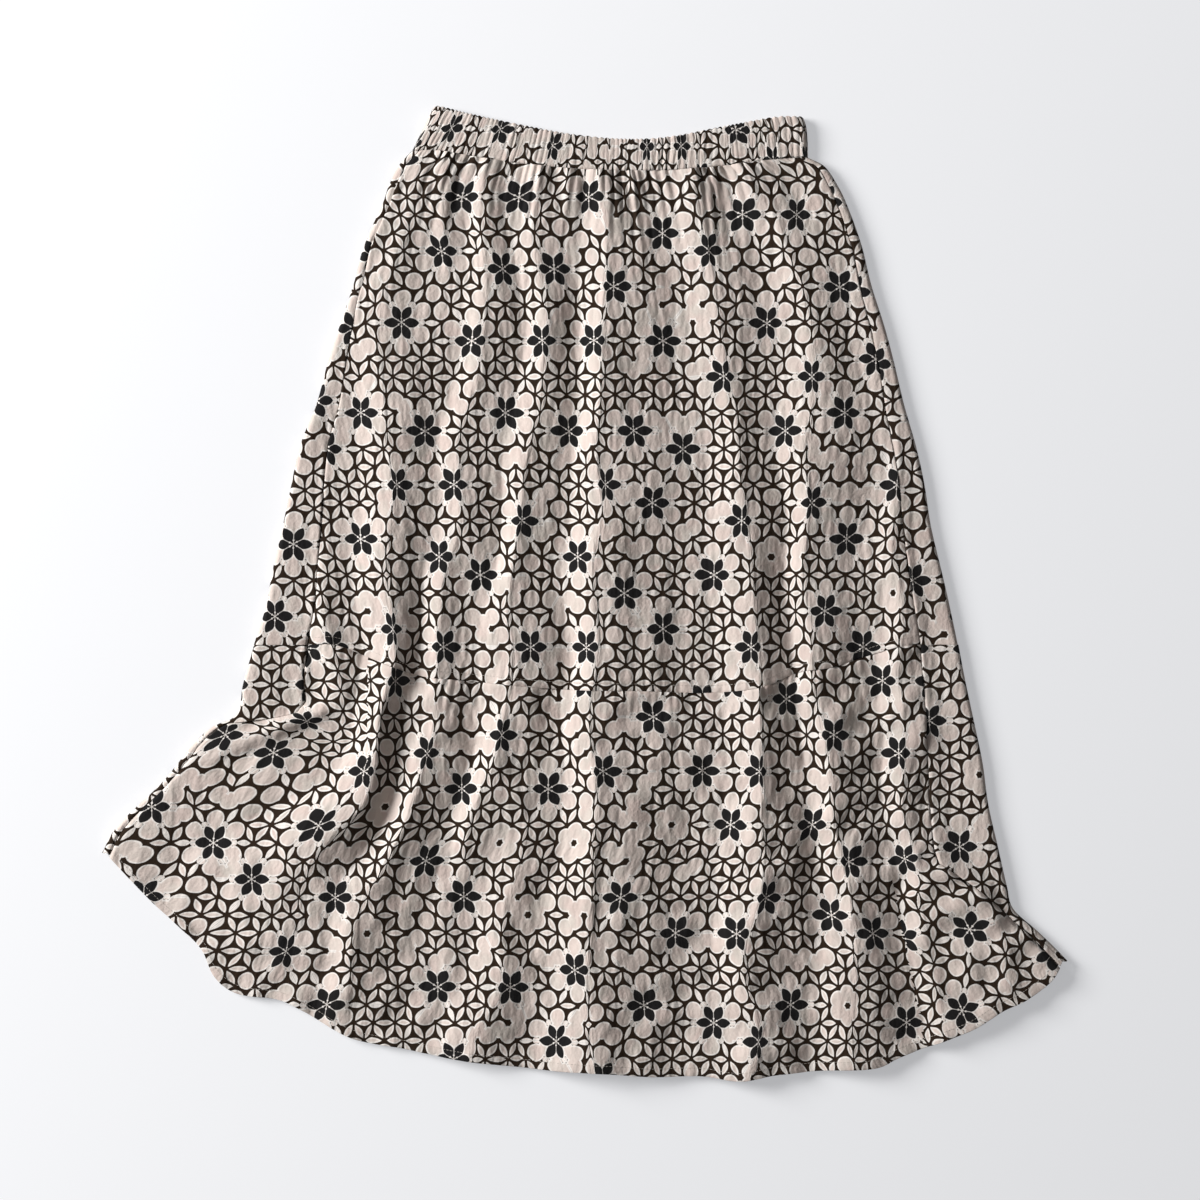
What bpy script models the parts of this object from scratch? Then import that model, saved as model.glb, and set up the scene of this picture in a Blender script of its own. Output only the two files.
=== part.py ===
"""A-line midi skirt with an elastic waist, laid flat on its back. Metres, +Z up.

The waist points to +Y, the hem to -Y, and the underside rests on Z = 0. Each panel of
cloth is a wall lofted through sections: a top face, a bottom face and the rim between.
The back panels turn up round the two side folds, so the side seams lie on the front.
"""

import bpy
import numpy as np

# Cloth and seams
CLOTH = 0.0012  # one layer of crinkled cotton, puckers included
CASING = 0.0028  # waist casing: two layers with the elastic between them
SEAM_GAP = 0.0003
BACK_HEM_SET_IN = 0.0015  # the back hem lies this far behind the front hem

# Levels above the surface that the skirt lies on
FOLD_RADIUS = 0.0045  # half the height of a side fold
CASING_RADIUS = 0.0047  # the same at the waist, where the cloth is thickest
PANEL_LEVEL = 0.0062  # top of the front between its folds
WAIST_LEVEL = 0.0092  # top of the front where it meets the casing
SIDE_REACH = 0.022  # how far in from a side fold the front stays raised
SIDE_FADE = 0.009  # how far in from a side fold the lengthwise folds fade out
WAIST_REACH = 0.030
STEEPEST = 0.55  # least upward share of a normal when the wall is measured across it
LEFT_LEAN, RIGHT_LEAN = 1.25, 0.85  # where a fold is steepest: near its left foot, near its crest
SHARP_ANGLE = 50  # degrees between faces that are shaded with an edge

# Grids: columns across the front, rows down each tier, steps round a fold
UPPER_COLUMNS, UPPER_ROWS = 50, 11
LOWER_COLUMNS, LOWER_ROWS = 56, 12
BACK_COLUMNS, STRIP_COLUMNS, FOLD_STEPS = 20, 3, 4
CASING_COLUMNS, CASING_ROWS = 28, 2
SIDE_PULL = 3  # power that fades the side lines' bends across a panel's grid
SPAN_POINTS, SIDE_POINTS, LINE_POINTS = 12, 90, 400  # samples of a span, a side fold, a line

# Lines across the skirt, from left to right: x, y
CASING_TOP = (
    (-0.1264, 0.4108), (-0.091, 0.402), (-0.049, 0.393), (-0.007, 0.3855),
    (0.035, 0.382), (0.072, 0.384), (0.119, 0.393), (0.161, 0.4005), (0.1835, 0.4007),
)
WAIST_SEAM = (
    (-0.143, 0.3712), (-0.124, 0.372), (-0.088, 0.366), (-0.054, 0.361), (0.0, 0.356),
    (0.047, 0.355), (0.097, 0.357), (0.139, 0.362), (0.176, 0.3662), (0.188, 0.3655),
)
TIER_SEAM = (
    (-0.2785, -0.0437), (-0.233, -0.0437), (-0.209, -0.0437), (-0.172, -0.058),
    (-0.137, -0.070), (-0.109, -0.073), (-0.021, -0.081), (0.0475, -0.0825),
    (0.105, -0.084), (0.149, -0.079), (0.181, -0.0665), (0.210, -0.062),
    (0.263, -0.0455), (0.2877, -0.0435), (0.3146, -0.0435),
)
HEM = (
    (-0.406, -0.215), (-0.385, -0.238), (-0.364, -0.260), (-0.343, -0.279),
    (-0.322, -0.300), (-0.312, -0.322), (-0.293, -0.337), (-0.259, -0.342),
    (-0.238, -0.351), (-0.196, -0.3745), (-0.154, -0.383), (-0.112, -0.3915),
    (-0.070, -0.397), (-0.028, -0.4015), (0.014, -0.403), (0.056, -0.4065),
    (0.098, -0.4065), (0.129, -0.410), (0.161, -0.405), (0.203, -0.4015),
    (0.245, -0.399), (0.266, -0.390), (0.308, -0.3745), (0.329, -0.3655),
    (0.350, -0.352), (0.371, -0.342), (0.391, -0.3275), (0.4015, -0.311), (0.406, -0.298),
)

# Side folds, from the waist down: x, y
LEFT_CASING_FOLD = (
    (-0.145, 0.3725), (-0.1395, 0.383), (-0.135, 0.392), (-0.1264, 0.4108),
)
RIGHT_CASING_FOLD = ((0.1875, 0.3665), (0.186, 0.391), (0.1835, 0.4007))
LEFT_UPPER_FOLD = (
    (-0.146, 0.372), (-0.157, 0.359), (-0.1645, 0.3436), (-0.1705, 0.327), (-0.1855, 0.293),
    (-0.194, 0.260), (-0.2055, 0.226), (-0.217, 0.192), (-0.226, 0.159), (-0.239, 0.125),
    (-0.248, 0.0865), (-0.255, 0.053), (-0.2625, 0.019), (-0.268, -0.011),
    (-0.2785, -0.0437),
)
LEFT_LOWER_FOLD = (
    (-0.2785, -0.0437), (-0.2877, -0.0764), (-0.290, -0.093), (-0.296, -0.105),
    (-0.313, -0.1126), (-0.330, -0.128), (-0.3565, -0.160), (-0.393, -0.194),
    (-0.406, -0.215),
)
RIGHT_UPPER_FOLD = (
    (0.188, 0.366), (0.202, 0.3587), (0.2125, 0.3436), (0.2205, 0.327), (0.233, 0.293),
    (0.2415, 0.260), (0.252, 0.226), (0.261, 0.192), (0.269, 0.159), (0.2785, 0.125),
    (0.286, 0.0915), (0.2915, 0.058), (0.299, 0.0244), (0.3065, -0.009), (0.3146, -0.0435),
)
RIGHT_LOWER_FOLD = (
    (0.3146, -0.0435), (0.321, -0.0765), (0.328, -0.110), (0.335, -0.1436),
    (0.340, -0.177), (0.348, -0.211), (0.3557, -0.2445), (0.361, -0.263),
    (0.381, -0.279), (0.406, -0.298),
)

# Side seams, as widths of the back that show beside each fold: share of the way down
# the fold, width at the left, width at the right
UPPER_STRIPS = (
    (0.00, 0.002, 0.003), (0.20, 0.002, 0.004), (0.32, 0.003, 0.007), (0.45, 0.012, 0.009),
    (0.60, 0.019, 0.015), (0.75, 0.027, 0.019), (0.88, 0.035, 0.024), (1.00, 0.0405, 0.0275),
)
LOWER_STRIPS = (
    (0.00, 0.0405, 0.0275), (0.22, 0.050, 0.035), (0.265, 0.046, 0.038),
    (0.30, 0.024, 0.040), (0.34, 0.004, 0.041), (0.45, 0.002, 0.044),
    (0.62, 0.002, 0.0505), (0.66, 0.002, 0.049), (0.73, 0.002, 0.023),
    (0.79, 0.002, 0.004), (1.00, 0.002, 0.002),
)

# Folds of the front that run from waist to hem, each with a row for every section:
# y, x of its left foot, x of its crest, x of its right foot, rise over the panel
FOLDS = {
    "left_shoulder": (
        (0.351, -0.151, -0.134, -0.121, 0.002), (0.280, -0.187, -0.161, -0.115, 0.004),
        (0.213, -0.201, -0.163, -0.113, 0.005), (0.129, -0.201, -0.161, -0.119, 0.007),
        (0.028, -0.194, -0.160, -0.135, 0.009), (-0.039, -0.185, -0.162, -0.144, 0.012),
        (-0.123, -0.197, -0.168, -0.150, 0.014), (-0.165, -0.239, -0.184, -0.160, 0.014),
        (-0.207, -0.310, -0.212, -0.190, 0.014), (-0.258, -0.344, -0.246, -0.219, 0.010),
        (-0.308, -0.340, -0.281, -0.256, 0.005),
    ),
    "left_gather": (
        (0.360, -0.130, -0.116, -0.105, 0.003), (0.305, -0.130, -0.117, -0.105, 0.002),
        (0.263, -0.130, -0.118, -0.106, 0.0),
    ),
    "left_edge": (
        (0.045, -0.231, -0.214, -0.197, 0.001), (-0.006, -0.236, -0.210, -0.190, 0.004),
        (-0.039, -0.236, -0.207, -0.186, 0.006), (-0.077, -0.236, -0.201, -0.184, 0.005),
        (-0.102, -0.235, -0.197, -0.182, 0.002),
    ),
    "second": (
        (0.351, -0.103, -0.084, -0.071, 0.004), (0.280, -0.106, -0.082, -0.061, 0.007),
        (0.213, -0.111, -0.081, -0.050, 0.008), (0.129, -0.117, -0.099, -0.068, 0.008),
        (0.028, -0.131, -0.112, -0.078, 0.009), (-0.039, -0.141, -0.118, -0.085, 0.010),
        (-0.123, -0.147, -0.121, -0.096, 0.011), (-0.174, -0.162, -0.135, -0.103, 0.012),
        (-0.207, -0.184, -0.153, -0.109, 0.012), (-0.258, -0.218, -0.182, -0.130, 0.011),
        (-0.300, -0.247, -0.207, -0.147, 0.009), (-0.350, -0.271, -0.239, -0.172, 0.003),
    ),
    "third": (
        (0.351, -0.061, -0.046, -0.031, 0.004), (0.280, -0.059, -0.032, -0.014, 0.008),
        (0.213, -0.048, -0.026, -0.001, 0.009), (0.129, -0.068, -0.039, -0.011, 0.009),
        (0.028, -0.077, -0.052, -0.012, 0.009), (-0.039, -0.084, -0.054, -0.011, 0.010),
        (-0.123, -0.095, -0.065, -0.015, 0.010), (-0.174, -0.103, -0.083, -0.037, 0.008),
        (-0.216, -0.111, -0.098, -0.071, 0.004), (-0.249, -0.121, -0.106, -0.088, 0.0),
    ),
    "third_lower": (
        (-0.144, -0.071, -0.046, -0.021, 0.0), (-0.207, -0.086, -0.049, -0.023, 0.006),
        (-0.291, -0.130, -0.066, -0.043, 0.009), (-0.367, -0.168, -0.074, -0.058, 0.010),
        (-0.422, -0.172, -0.079, -0.061, 0.010),
    ),
    "centre_gather": (
        (0.360, -0.027, -0.018, -0.007, 0.003), (0.297, -0.027, -0.016, -0.004, 0.0),
    ),
    "centre": (
        (0.351, -0.009, 0.015, 0.028, 0.005), (0.280, -0.011, 0.023, 0.070, 0.009),
        (0.213, 0.000, 0.025, 0.084, 0.011), (0.129, -0.009, 0.026, 0.087, 0.012),
        (0.028, -0.011, 0.024, 0.090, 0.013), (-0.123, -0.011, 0.022, 0.105, 0.013),
        (-0.207, -0.022, 0.021, 0.101, 0.014), (-0.291, -0.042, 0.026, 0.097, 0.014),
        (-0.367, -0.055, 0.028, 0.089, 0.014), (-0.422, -0.058, 0.030, 0.089, 0.014),
    ),
    "right_gather": (
        (0.360, 0.032, 0.042, 0.055, 0.004), (0.297, 0.038, 0.047, 0.060, 0.001),
        (0.271, 0.038, 0.047, 0.060, 0.0),
    ),
    "fifth": (
        (0.351, 0.077, 0.095, 0.104, 0.005), (0.280, 0.074, 0.116, 0.141, 0.008),
        (0.213, 0.087, 0.125, 0.154, 0.010), (0.129, 0.089, 0.136, 0.165, 0.012),
        (0.028, 0.092, 0.141, 0.168, 0.013), (-0.039, 0.102, 0.148, 0.170, 0.013),
        (-0.123, 0.108, 0.152, 0.182, 0.013), (-0.207, 0.104, 0.158, 0.190, 0.014),
        (-0.291, 0.100, 0.147, 0.196, 0.012), (-0.367, 0.095, 0.141, 0.184, 0.013),
        (-0.422, 0.093, 0.137, 0.184, 0.013),
    ),
    "fifth_gather": (
        (0.360, 0.104, 0.112, 0.121, 0.003), (0.288, 0.102, 0.114, 0.124, 0.0),
    ),
    "sixth": (
        (0.351, 0.126, 0.150, 0.168, 0.005), (0.280, 0.143, 0.175, 0.223, 0.007),
        (0.213, 0.156, 0.200, 0.227, 0.009), (0.129, 0.168, 0.205, 0.248, 0.010),
        (0.028, 0.169, 0.190, 0.235, 0.011), (-0.039, 0.172, 0.198, 0.236, 0.011),
        (-0.123, 0.184, 0.208, 0.242, 0.012), (-0.207, 0.193, 0.223, 0.252, 0.012),
        (-0.291, 0.200, 0.230, 0.267, 0.012), (-0.367, 0.188, 0.238, 0.273, 0.011),
        (-0.422, 0.186, 0.242, 0.278, 0.011),
    ),
    "right_shoulder": (
        (0.137, 0.255, 0.268, 0.280, 0.002), (0.028, 0.237, 0.257, 0.275, 0.007),
        (-0.039, 0.239, 0.269, 0.287, 0.009), (-0.123, 0.244, 0.273, 0.303, 0.010),
        (-0.207, 0.254, 0.272, 0.307, 0.010), (-0.291, 0.268, 0.293, 0.311, 0.009),
        (-0.367, 0.277, 0.307, 0.336, 0.007), (-0.422, 0.278, 0.311, 0.341, 0.006),
    ),
}

# The rolled edge of the left corner, which runs down to the left: distance along it from
# ROLL_START, half width, rise over the panel
ROLL_START = (-0.200, -0.086)
ROLL_END = (-0.330, -0.146)
ROLL = ((0.0, 0.010, 0.0), (0.02, 0.011, 0.006), (0.06, 0.012, 0.007), (0.10, 0.014, 0.004),
        (0.145, 0.016, 0.0))

# Colours of the two tiers' cloth and of the casing, as linear red, green and blue
CLOTH_COLOUR = (0.55, 0.49, 0.44)
LOWER_COLOUR = (0.50, 0.45, 0.40)
CASING_COLOUR = (0.42, 0.37, 0.33)


def curve_through(points, count):
    """count points, evenly spaced, on the Catmull-Rom curve through the given ones."""
    p = np.asarray(points, float)
    p = np.vstack([2 * p[0] - p[1], p, 2 * p[-1] - p[-2]])
    u = np.linspace(0, 1, SPAN_POINTS, endpoint=False)[:, None]
    spans = [
        b + 0.5 * u * (c - a + u * (2 * a - 5 * b + 4 * c - d + u * (3 * b - a - 3 * c + d)))
        for a, b, c, d in zip(p, p[1:], p[2:], p[3:])
    ]
    dense = np.vstack([*spans, p[-2:-1]])
    run = np.append(0, np.cumsum(np.linalg.norm(np.diff(dense, axis=0), axis=1)))
    at = np.linspace(0, run[-1], count)
    return np.column_stack([np.interp(at, run, column) for column in dense.T])


def height_on(points, x):
    """y of a line across the skirt at each x."""
    line = curve_through(points, LINE_POINTS)
    return np.interp(x, line[:, 0], line[:, 1])


def line_across(points, left, right, row, count, lift):
    """count points of a line across the skirt, moved by lift, between two side lines whose
    points in the given row are brought onto it."""
    x = np.linspace(left[row, 0], right[row, 0], count)
    y = height_on(points, x) + lift
    left[row, 1], right[row, 1] = y[0], y[-1]
    return np.column_stack([x, y])


def patch(top, bottom, left, right):
    """A grid of plan points between four lines that meet at their ends: straight lines from
    top to bottom, which follow the bends of the side lines less the further in they lie."""
    s = np.linspace(0, 1, len(top))[None, :, None]
    t = np.linspace(0, 1, len(left))[:, None, None]
    down = (1 - t) * top[None] + t * bottom[None]
    left_bend = left[:, None] - down[:, :1]
    right_bend = right[:, None] - down[:, -1:]
    return down + (1 - s) ** SIDE_PULL * left_bend + s**SIDE_PULL * right_bend


def distance_to(line, plan):
    """Distance from each plan point to the nearest point of a densely sampled line."""
    flat = plan.reshape(-1, 1, 2)
    return np.linalg.norm(flat - line[None], axis=2).min(axis=1).reshape(plan.shape[:-1])


def flank(share, lean):
    """1 at a crest and 0 at the foot; a lean over 1 keeps the slope near the foot."""
    return 0.5 + 0.5 * np.cos(np.pi * np.clip(share, 0, 1) ** lean)


def fold_height(plan, rows):
    """Rise of one lengthwise fold: a steep left flank and a long right one."""
    rows = np.array(rows)[::-1]
    y = plan[..., 1]
    left, crest, right, rise = (np.interp(y, rows[:, 0], rows[:, k]) for k in range(1, 5))
    rise = np.where((y < rows[0, 0]) | (y > rows[-1, 0] + WAIST_REACH), 0, rise)
    off = plan[..., 0] - crest
    on_left = flank(-off / (crest - left), LEFT_LEAN)
    on_right = flank(off / (right - crest), RIGHT_LEAN)
    return rise * np.where(off < 0, on_left, on_right)


def roll_height(plan):
    """Rise of the rolled edge at the left corner."""
    start = np.array(ROLL_START)
    along = np.array(ROLL_END) - start
    along /= np.linalg.norm(along)
    offset = plan - start
    distance = offset @ along
    aside = np.abs(offset @ np.array([-along[1], along[0]]))
    table = np.array(ROLL)
    half_width = np.interp(distance, table[:, 0], table[:, 1])
    rise = np.interp(distance, table[:, 0], table[:, 2])
    return rise * flank(aside / half_width, 1)


def top_height(plan):
    """Height of the skirt's upper face over each plan point."""
    side_folds = (LEFT_UPPER_FOLD, LEFT_LOWER_FOLD, RIGHT_UPPER_FOLD, RIGHT_LOWER_FOLD)
    sides = np.vstack([curve_through(fold, SIDE_POINTS) for fold in side_folds])
    to_side = np.maximum(distance_to(sides, plan) - FOLD_RADIUS, 0)
    to_waist = distance_to(curve_through(WAIST_SEAM, LINE_POINTS), plan)
    side = np.exp(-((to_side / SIDE_REACH) ** 2))
    waist = np.exp(-((to_waist / WAIST_REACH) ** 2))
    level = PANEL_LEVEL + (2 * FOLD_RADIUS - PANEL_LEVEL) * side
    level = np.maximum(level, PANEL_LEVEL + (WAIST_LEVEL - PANEL_LEVEL) * waist)
    folds = sum(fold_height(plan, rows) for rows in FOLDS.values()) + roll_height(plan)
    return level + folds * (1 - np.exp(-((to_side / SIDE_FADE) ** 2)))


def upward_share(points):
    """The upward part of a grid's unit normals, no less than STEEPEST."""
    normal = np.cross(np.gradient(points, axis=0), np.gradient(points, axis=1))
    share = np.abs(normal[..., 2]) / np.linalg.norm(normal, axis=-1)
    return np.maximum(share, STEEPEST)


def top_faces(plan):
    """Outer and inner faces of the cloth that lies on top of the plan points."""
    outer = np.dstack([plan, top_height(plan)])
    inner = outer.copy()
    inner[..., 2] -= CLOTH / upward_share(outer)
    return outer, inner


def fold_faces(edge, outward, radius, wall, steps):
    """Outer and inner faces of a fold that turns down round the edge points to Z = 0."""
    turn = np.linspace(np.pi / 2, -np.pi / 2, steps + 1)[None, :]
    faces = []
    for r in (radius, radius - wall):
        x = edge[:, :1] + outward * r * np.cos(turn)
        y = np.repeat(edge[:, 1:], steps + 1, axis=1)
        z = radius + r * np.sin(turn) * np.ones_like(x)
        faces.append(np.dstack([x, y, z]))
    return faces


def bottom_faces(plan, wall):
    """Outer and inner faces of the cloth that lies flat on the surface."""
    flat = np.zeros(plan.shape[:-1])
    return np.dstack([plan, flat]), np.dstack([plan, flat + wall])


def wall(name, outer, inner, colour, ring=False):
    """A closed solid between two grids of points; a ring joins its last column to its first."""
    rows, columns = outer.shape[:2]
    count = rows * columns
    index = np.arange(count).reshape(rows, columns)
    if ring:
        index = np.column_stack([index, index[:, :1]])
    a, b, c, d = index[:-1, :-1], index[:-1, 1:], index[1:, 1:], index[1:, :-1]
    outside = np.stack([a, d, c, b], axis=-1).reshape(-1, 4)
    faces = [outside, outside[:, ::-1] + count]
    rims = [index[0], index[-1, ::-1]]
    if not ring:
        rims += [index[::-1, 0], index[:, -1]]
    for rim in rims:
        p, q = rim[:-1], rim[1:]
        faces.append(np.stack([p, q, q + count, p + count], axis=-1))
    points = np.vstack([outer.reshape(-1, 3), inner.reshape(-1, 3)])
    mesh = bpy.data.meshes.new(name)
    mesh.from_pydata(points.tolist(), [], np.vstack(faces).tolist())
    mesh.shade_smooth()
    mesh.set_sharp_from_angle(angle=np.radians(SHARP_ANGLE))
    mesh.materials.append(cloth_material(name, colour))
    panel = bpy.data.objects.new(name, mesh)
    skirt.objects.link(panel)


def cloth_material(name, colour):
    """A dull cloth finish of the given colour."""
    material = bpy.data.materials.new(name)
    material.use_nodes = True
    shader = material.node_tree.nodes["Principled BSDF"]
    shader.inputs["Base Color"].default_value = (*colour, 1)
    shader.inputs["Roughness"].default_value = 0.85
    shader.inputs["Metallic"].default_value = 0
    return material


def front_panel(name, folds, strips, lines, columns, rows, colour):
    """The cloth between the two side seams of one tier."""
    left, right = side_lines(folds, strips, rows, SEAM_GAP)
    top = line_across(lines[0], left, right, 0, columns + 1, -SEAM_GAP / 2)
    bottom = line_across(lines[1], left, right, -1, columns + 1, SEAM_GAP / 2)
    wall(name, *top_faces(patch(top, bottom, left, right)), colour)


def side_lines(folds, strips, rows, gap):
    """Points down both sides of one tier: a fold radius, the strip of the back that shows
    there and the gap inside each fold."""
    down = np.linspace(0, 1, rows + 1)
    table = np.array(strips)
    lines = []
    for fold, side, column in ((folds[0], 1, 1), (folds[1], -1, 2)):
        line = curve_through(fold, rows + 1)
        line[:, 0] += side * (FOLD_RADIUS + gap + np.interp(down, table[:, 0], table[:, column]))
        lines.append(line)
    return lines


def back_panel(name, folds, strips, lines, rows, set_in, colour):
    """The cloth under one tier, with its turned-up sides, as far as the side seams."""
    no_strips = ((0, 0, 0), (1, 0, 0))
    seams = side_lines(folds, strips, rows, 0)
    edges = side_lines(folds, no_strips, rows, 0)
    for sides in (seams, edges):
        top = line_across(lines[0], *sides, 0, BACK_COLUMNS + 1, -SEAM_GAP / 2)
        bottom = line_across(lines[1], *sides, -1, BACK_COLUMNS + 1, SEAM_GAP / 2 + set_in)
    under = bottom_faces(patch(top, bottom, *edges), CLOTH)
    pieces = []
    for seam, edge, outward in ((seams[0], edges[0], -1), (seams[1], edges[1], 1)):
        share = np.linspace(0, 1, STRIP_COLUMNS + 1)[None, :, None]
        strip = top_faces(seam[:, None] * (1 - share) + edge[:, None] * share)
        fold = fold_faces(edge, outward, FOLD_RADIUS, CLOTH, FOLD_STEPS)
        pieces.append([np.hstack([strip[k][:, :-1], fold[k][:, :-1]]) for k in range(2)])
    outer, inner = (
        np.hstack([pieces[0][k], under[k], pieces[1][k][:, ::-1]]) for k in range(2)
    )
    wall(name, outer[:, ::-1], inner[:, ::-1], colour)


def waistband():
    """The gathered casing: one flattened ring, open through its middle."""
    rows = CASING_ROWS + 1
    edges = []
    for fold, side in ((LEFT_CASING_FOLD, 1), (RIGHT_CASING_FOLD, -1)):
        edge = curve_through(fold, rows)[::-1]
        edge[:, 0] += side * CASING_RADIUS
        edges.append(edge)
    top = line_across(CASING_TOP, *edges, 0, CASING_COLUMNS + 1, 0)
    bottom = line_across(WAIST_SEAM, *edges, -1, CASING_COLUMNS + 1, SEAM_GAP / 2)
    plan = patch(top, bottom, *edges)
    height = np.full(plan.shape[:-1], 2 * CASING_RADIUS)
    upper = np.dstack([plan, height]), np.dstack([plan, height - CASING])
    under = bottom_faces(plan, CASING)
    left = fold_faces(plan[:, 0], -1, CASING_RADIUS, CASING, FOLD_STEPS)
    right = fold_faces(plan[:, -1], 1, CASING_RADIUS, CASING, FOLD_STEPS)
    outer, inner = (
        np.hstack([upper[k], right[k][:, 1:-1], under[k][:, ::-1], left[k][:, -2:0:-1]])
        for k in range(2)
    )
    wall("waistband", outer, inner, CASING_COLOUR, ring=True)


for old in list(bpy.data.objects):
    bpy.data.objects.remove(old)
skirt = bpy.data.collections.new("a_line_skirt")
bpy.context.scene.collection.children.link(skirt)

upper_folds = (LEFT_UPPER_FOLD, RIGHT_UPPER_FOLD)
lower_folds = (LEFT_LOWER_FOLD, RIGHT_LOWER_FOLD)
waistband()
front_panel(
    "front_upper", upper_folds, UPPER_STRIPS, (WAIST_SEAM, TIER_SEAM),
    UPPER_COLUMNS, UPPER_ROWS, CLOTH_COLOUR,
)
front_panel(
    "front_lower", lower_folds, LOWER_STRIPS, (TIER_SEAM, HEM),
    LOWER_COLUMNS, LOWER_ROWS, LOWER_COLOUR,
)
back_panel(
    "back_upper", upper_folds, UPPER_STRIPS, (WAIST_SEAM, TIER_SEAM),
    UPPER_ROWS, 0, CLOTH_COLOUR,
)
back_panel(
    "back_lower", lower_folds, LOWER_STRIPS, (TIER_SEAM, HEM),
    LOWER_ROWS, BACK_HEM_SET_IN, LOWER_COLOUR,
)
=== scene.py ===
"""Looks of an a-line skirt laid flat: printed, crinkled cotton in two tiers under a gathered casing.

Metres, +Z up, the waist to +Y. Each piece of cloth is a fine grid on its solid's form. Its UV map
gives every point's place on the flat cloth in metres, and the print is drawn there.
"""

import bpy
import numpy as np
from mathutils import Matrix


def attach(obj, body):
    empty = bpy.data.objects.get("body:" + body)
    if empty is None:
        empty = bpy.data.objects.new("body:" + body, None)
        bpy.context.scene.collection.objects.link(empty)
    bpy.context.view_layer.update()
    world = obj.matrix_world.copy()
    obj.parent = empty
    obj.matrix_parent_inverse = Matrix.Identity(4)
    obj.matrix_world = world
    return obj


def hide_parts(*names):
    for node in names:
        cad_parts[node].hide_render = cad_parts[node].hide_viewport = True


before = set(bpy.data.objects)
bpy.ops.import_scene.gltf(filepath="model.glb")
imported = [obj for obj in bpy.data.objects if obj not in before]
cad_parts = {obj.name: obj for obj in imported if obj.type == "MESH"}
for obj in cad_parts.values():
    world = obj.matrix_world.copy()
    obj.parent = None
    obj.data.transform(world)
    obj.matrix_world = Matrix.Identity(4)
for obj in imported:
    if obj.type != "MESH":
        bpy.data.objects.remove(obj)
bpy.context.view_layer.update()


# ---------------------------------------------------------------------------------------------
# Upper front: one layer of crinkled cotton from the casing's seam down to the tier seam. It is
# cut flared, gathered into the casing, and lies in deep soft folds that run on into the tier
# below. Small flutes leave the gathers, and the cloth is crinkled all over.
# ---------------------------------------------------------------------------------------------

CLOTH = 0.0008  # thickness
SEAM_GAP = 0.00006  # between two pieces at a seam
FOLD_RADIUS = 0.0045  # half the height of a side fold
PANEL_LEVEL = 0.0062  # top of the front between its folds
WAIST_LEVEL = 0.0092  # top of the front where it meets the casing
SIDE_REACH, WAIST_REACH = 0.032, 0.030  # how far the panel slopes up to its sides and its waist
SIDE_FADE = 0.009  # width beside a side fold in which the lengthwise folds die away
ROW_REACH = 0.030  # how far a fold runs on above its first row
LEFT_LEAN, RIGHT_LEAN = 1.15, 1.25  # power of the share across each flank of a fold
LEFT_STRAIGHT, RIGHT_STRAIGHT = 0.8, 0.75  # share of a straight line in each flank
STEEP = 0.70  # share of the width from left foot to crest that the left flank takes
LOFT = 1.12  # factor on the rise of every fold
TUCK, TUCK_WIDTH = 0.7, 0.0022  # cloth hidden at a crest: share of the rise, width of its bell
BEND = 0.003  # how far slow noise shifts the folds across
SIDE_PULL = 3  # power that fades the side lines' bends across a panel's grid
END_PULL = 6  # power that fades the side lines' fit to the seams
CLOSE_ROWS = (0.0004, 0.0010, 0.0018)  # places of the grid's close rows, from each end

# Lines across the skirt, from left to right: x, y
WAIST_SEAM = (
    (-0.143, 0.3712), (-0.124, 0.372), (-0.088, 0.366), (-0.054, 0.361), (0.0, 0.356),
    (0.047, 0.355), (0.097, 0.357), (0.139, 0.362), (0.176, 0.3662), (0.188, 0.3655),
)
TIER_SEAM = (
    (-0.2785, -0.0437), (-0.233, -0.0437), (-0.209, -0.0437), (-0.172, -0.058),
    (-0.137, -0.070), (-0.109, -0.073), (-0.021, -0.081), (0.0475, -0.0825),
    (0.105, -0.084), (0.149, -0.079), (0.181, -0.0665), (0.210, -0.062),
    (0.263, -0.0455), (0.2877, -0.0435), (0.3146, -0.0435),
)

# Side folds, from the waist down: x, y
LEFT_UPPER_FOLD = (
    (-0.146, 0.372), (-0.157, 0.359), (-0.1645, 0.3436), (-0.1705, 0.327), (-0.1855, 0.293),
    (-0.194, 0.260), (-0.2055, 0.226), (-0.217, 0.192), (-0.226, 0.159), (-0.239, 0.125),
    (-0.248, 0.0865), (-0.255, 0.053), (-0.2625, 0.019), (-0.268, -0.011),
    (-0.2785, -0.0437),
)
RIGHT_UPPER_FOLD = (
    (0.188, 0.366), (0.202, 0.3587), (0.2125, 0.3436), (0.2205, 0.327), (0.233, 0.293),
    (0.2415, 0.260), (0.252, 0.226), (0.261, 0.192), (0.269, 0.159), (0.2785, 0.125),
    (0.286, 0.0915), (0.2915, 0.058), (0.299, 0.0244), (0.3065, -0.009), (0.3146, -0.0435),
)
LEFT_LOWER_FOLD = (
    (-0.2785, -0.0437), (-0.2877, -0.0764), (-0.290, -0.093), (-0.296, -0.105),
    (-0.313, -0.1126), (-0.330, -0.128), (-0.3565, -0.160), (-0.393, -0.194),
    (-0.406, -0.215),
)
RIGHT_LOWER_FOLD = (
    (0.3146, -0.0435), (0.321, -0.0765), (0.328, -0.110), (0.335, -0.1436),
    (0.340, -0.177), (0.348, -0.211), (0.3557, -0.2445), (0.361, -0.263),
    (0.381, -0.279), (0.406, -0.298),
)
UPPER_FOLDS = (LEFT_UPPER_FOLD, RIGHT_UPPER_FOLD)

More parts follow.
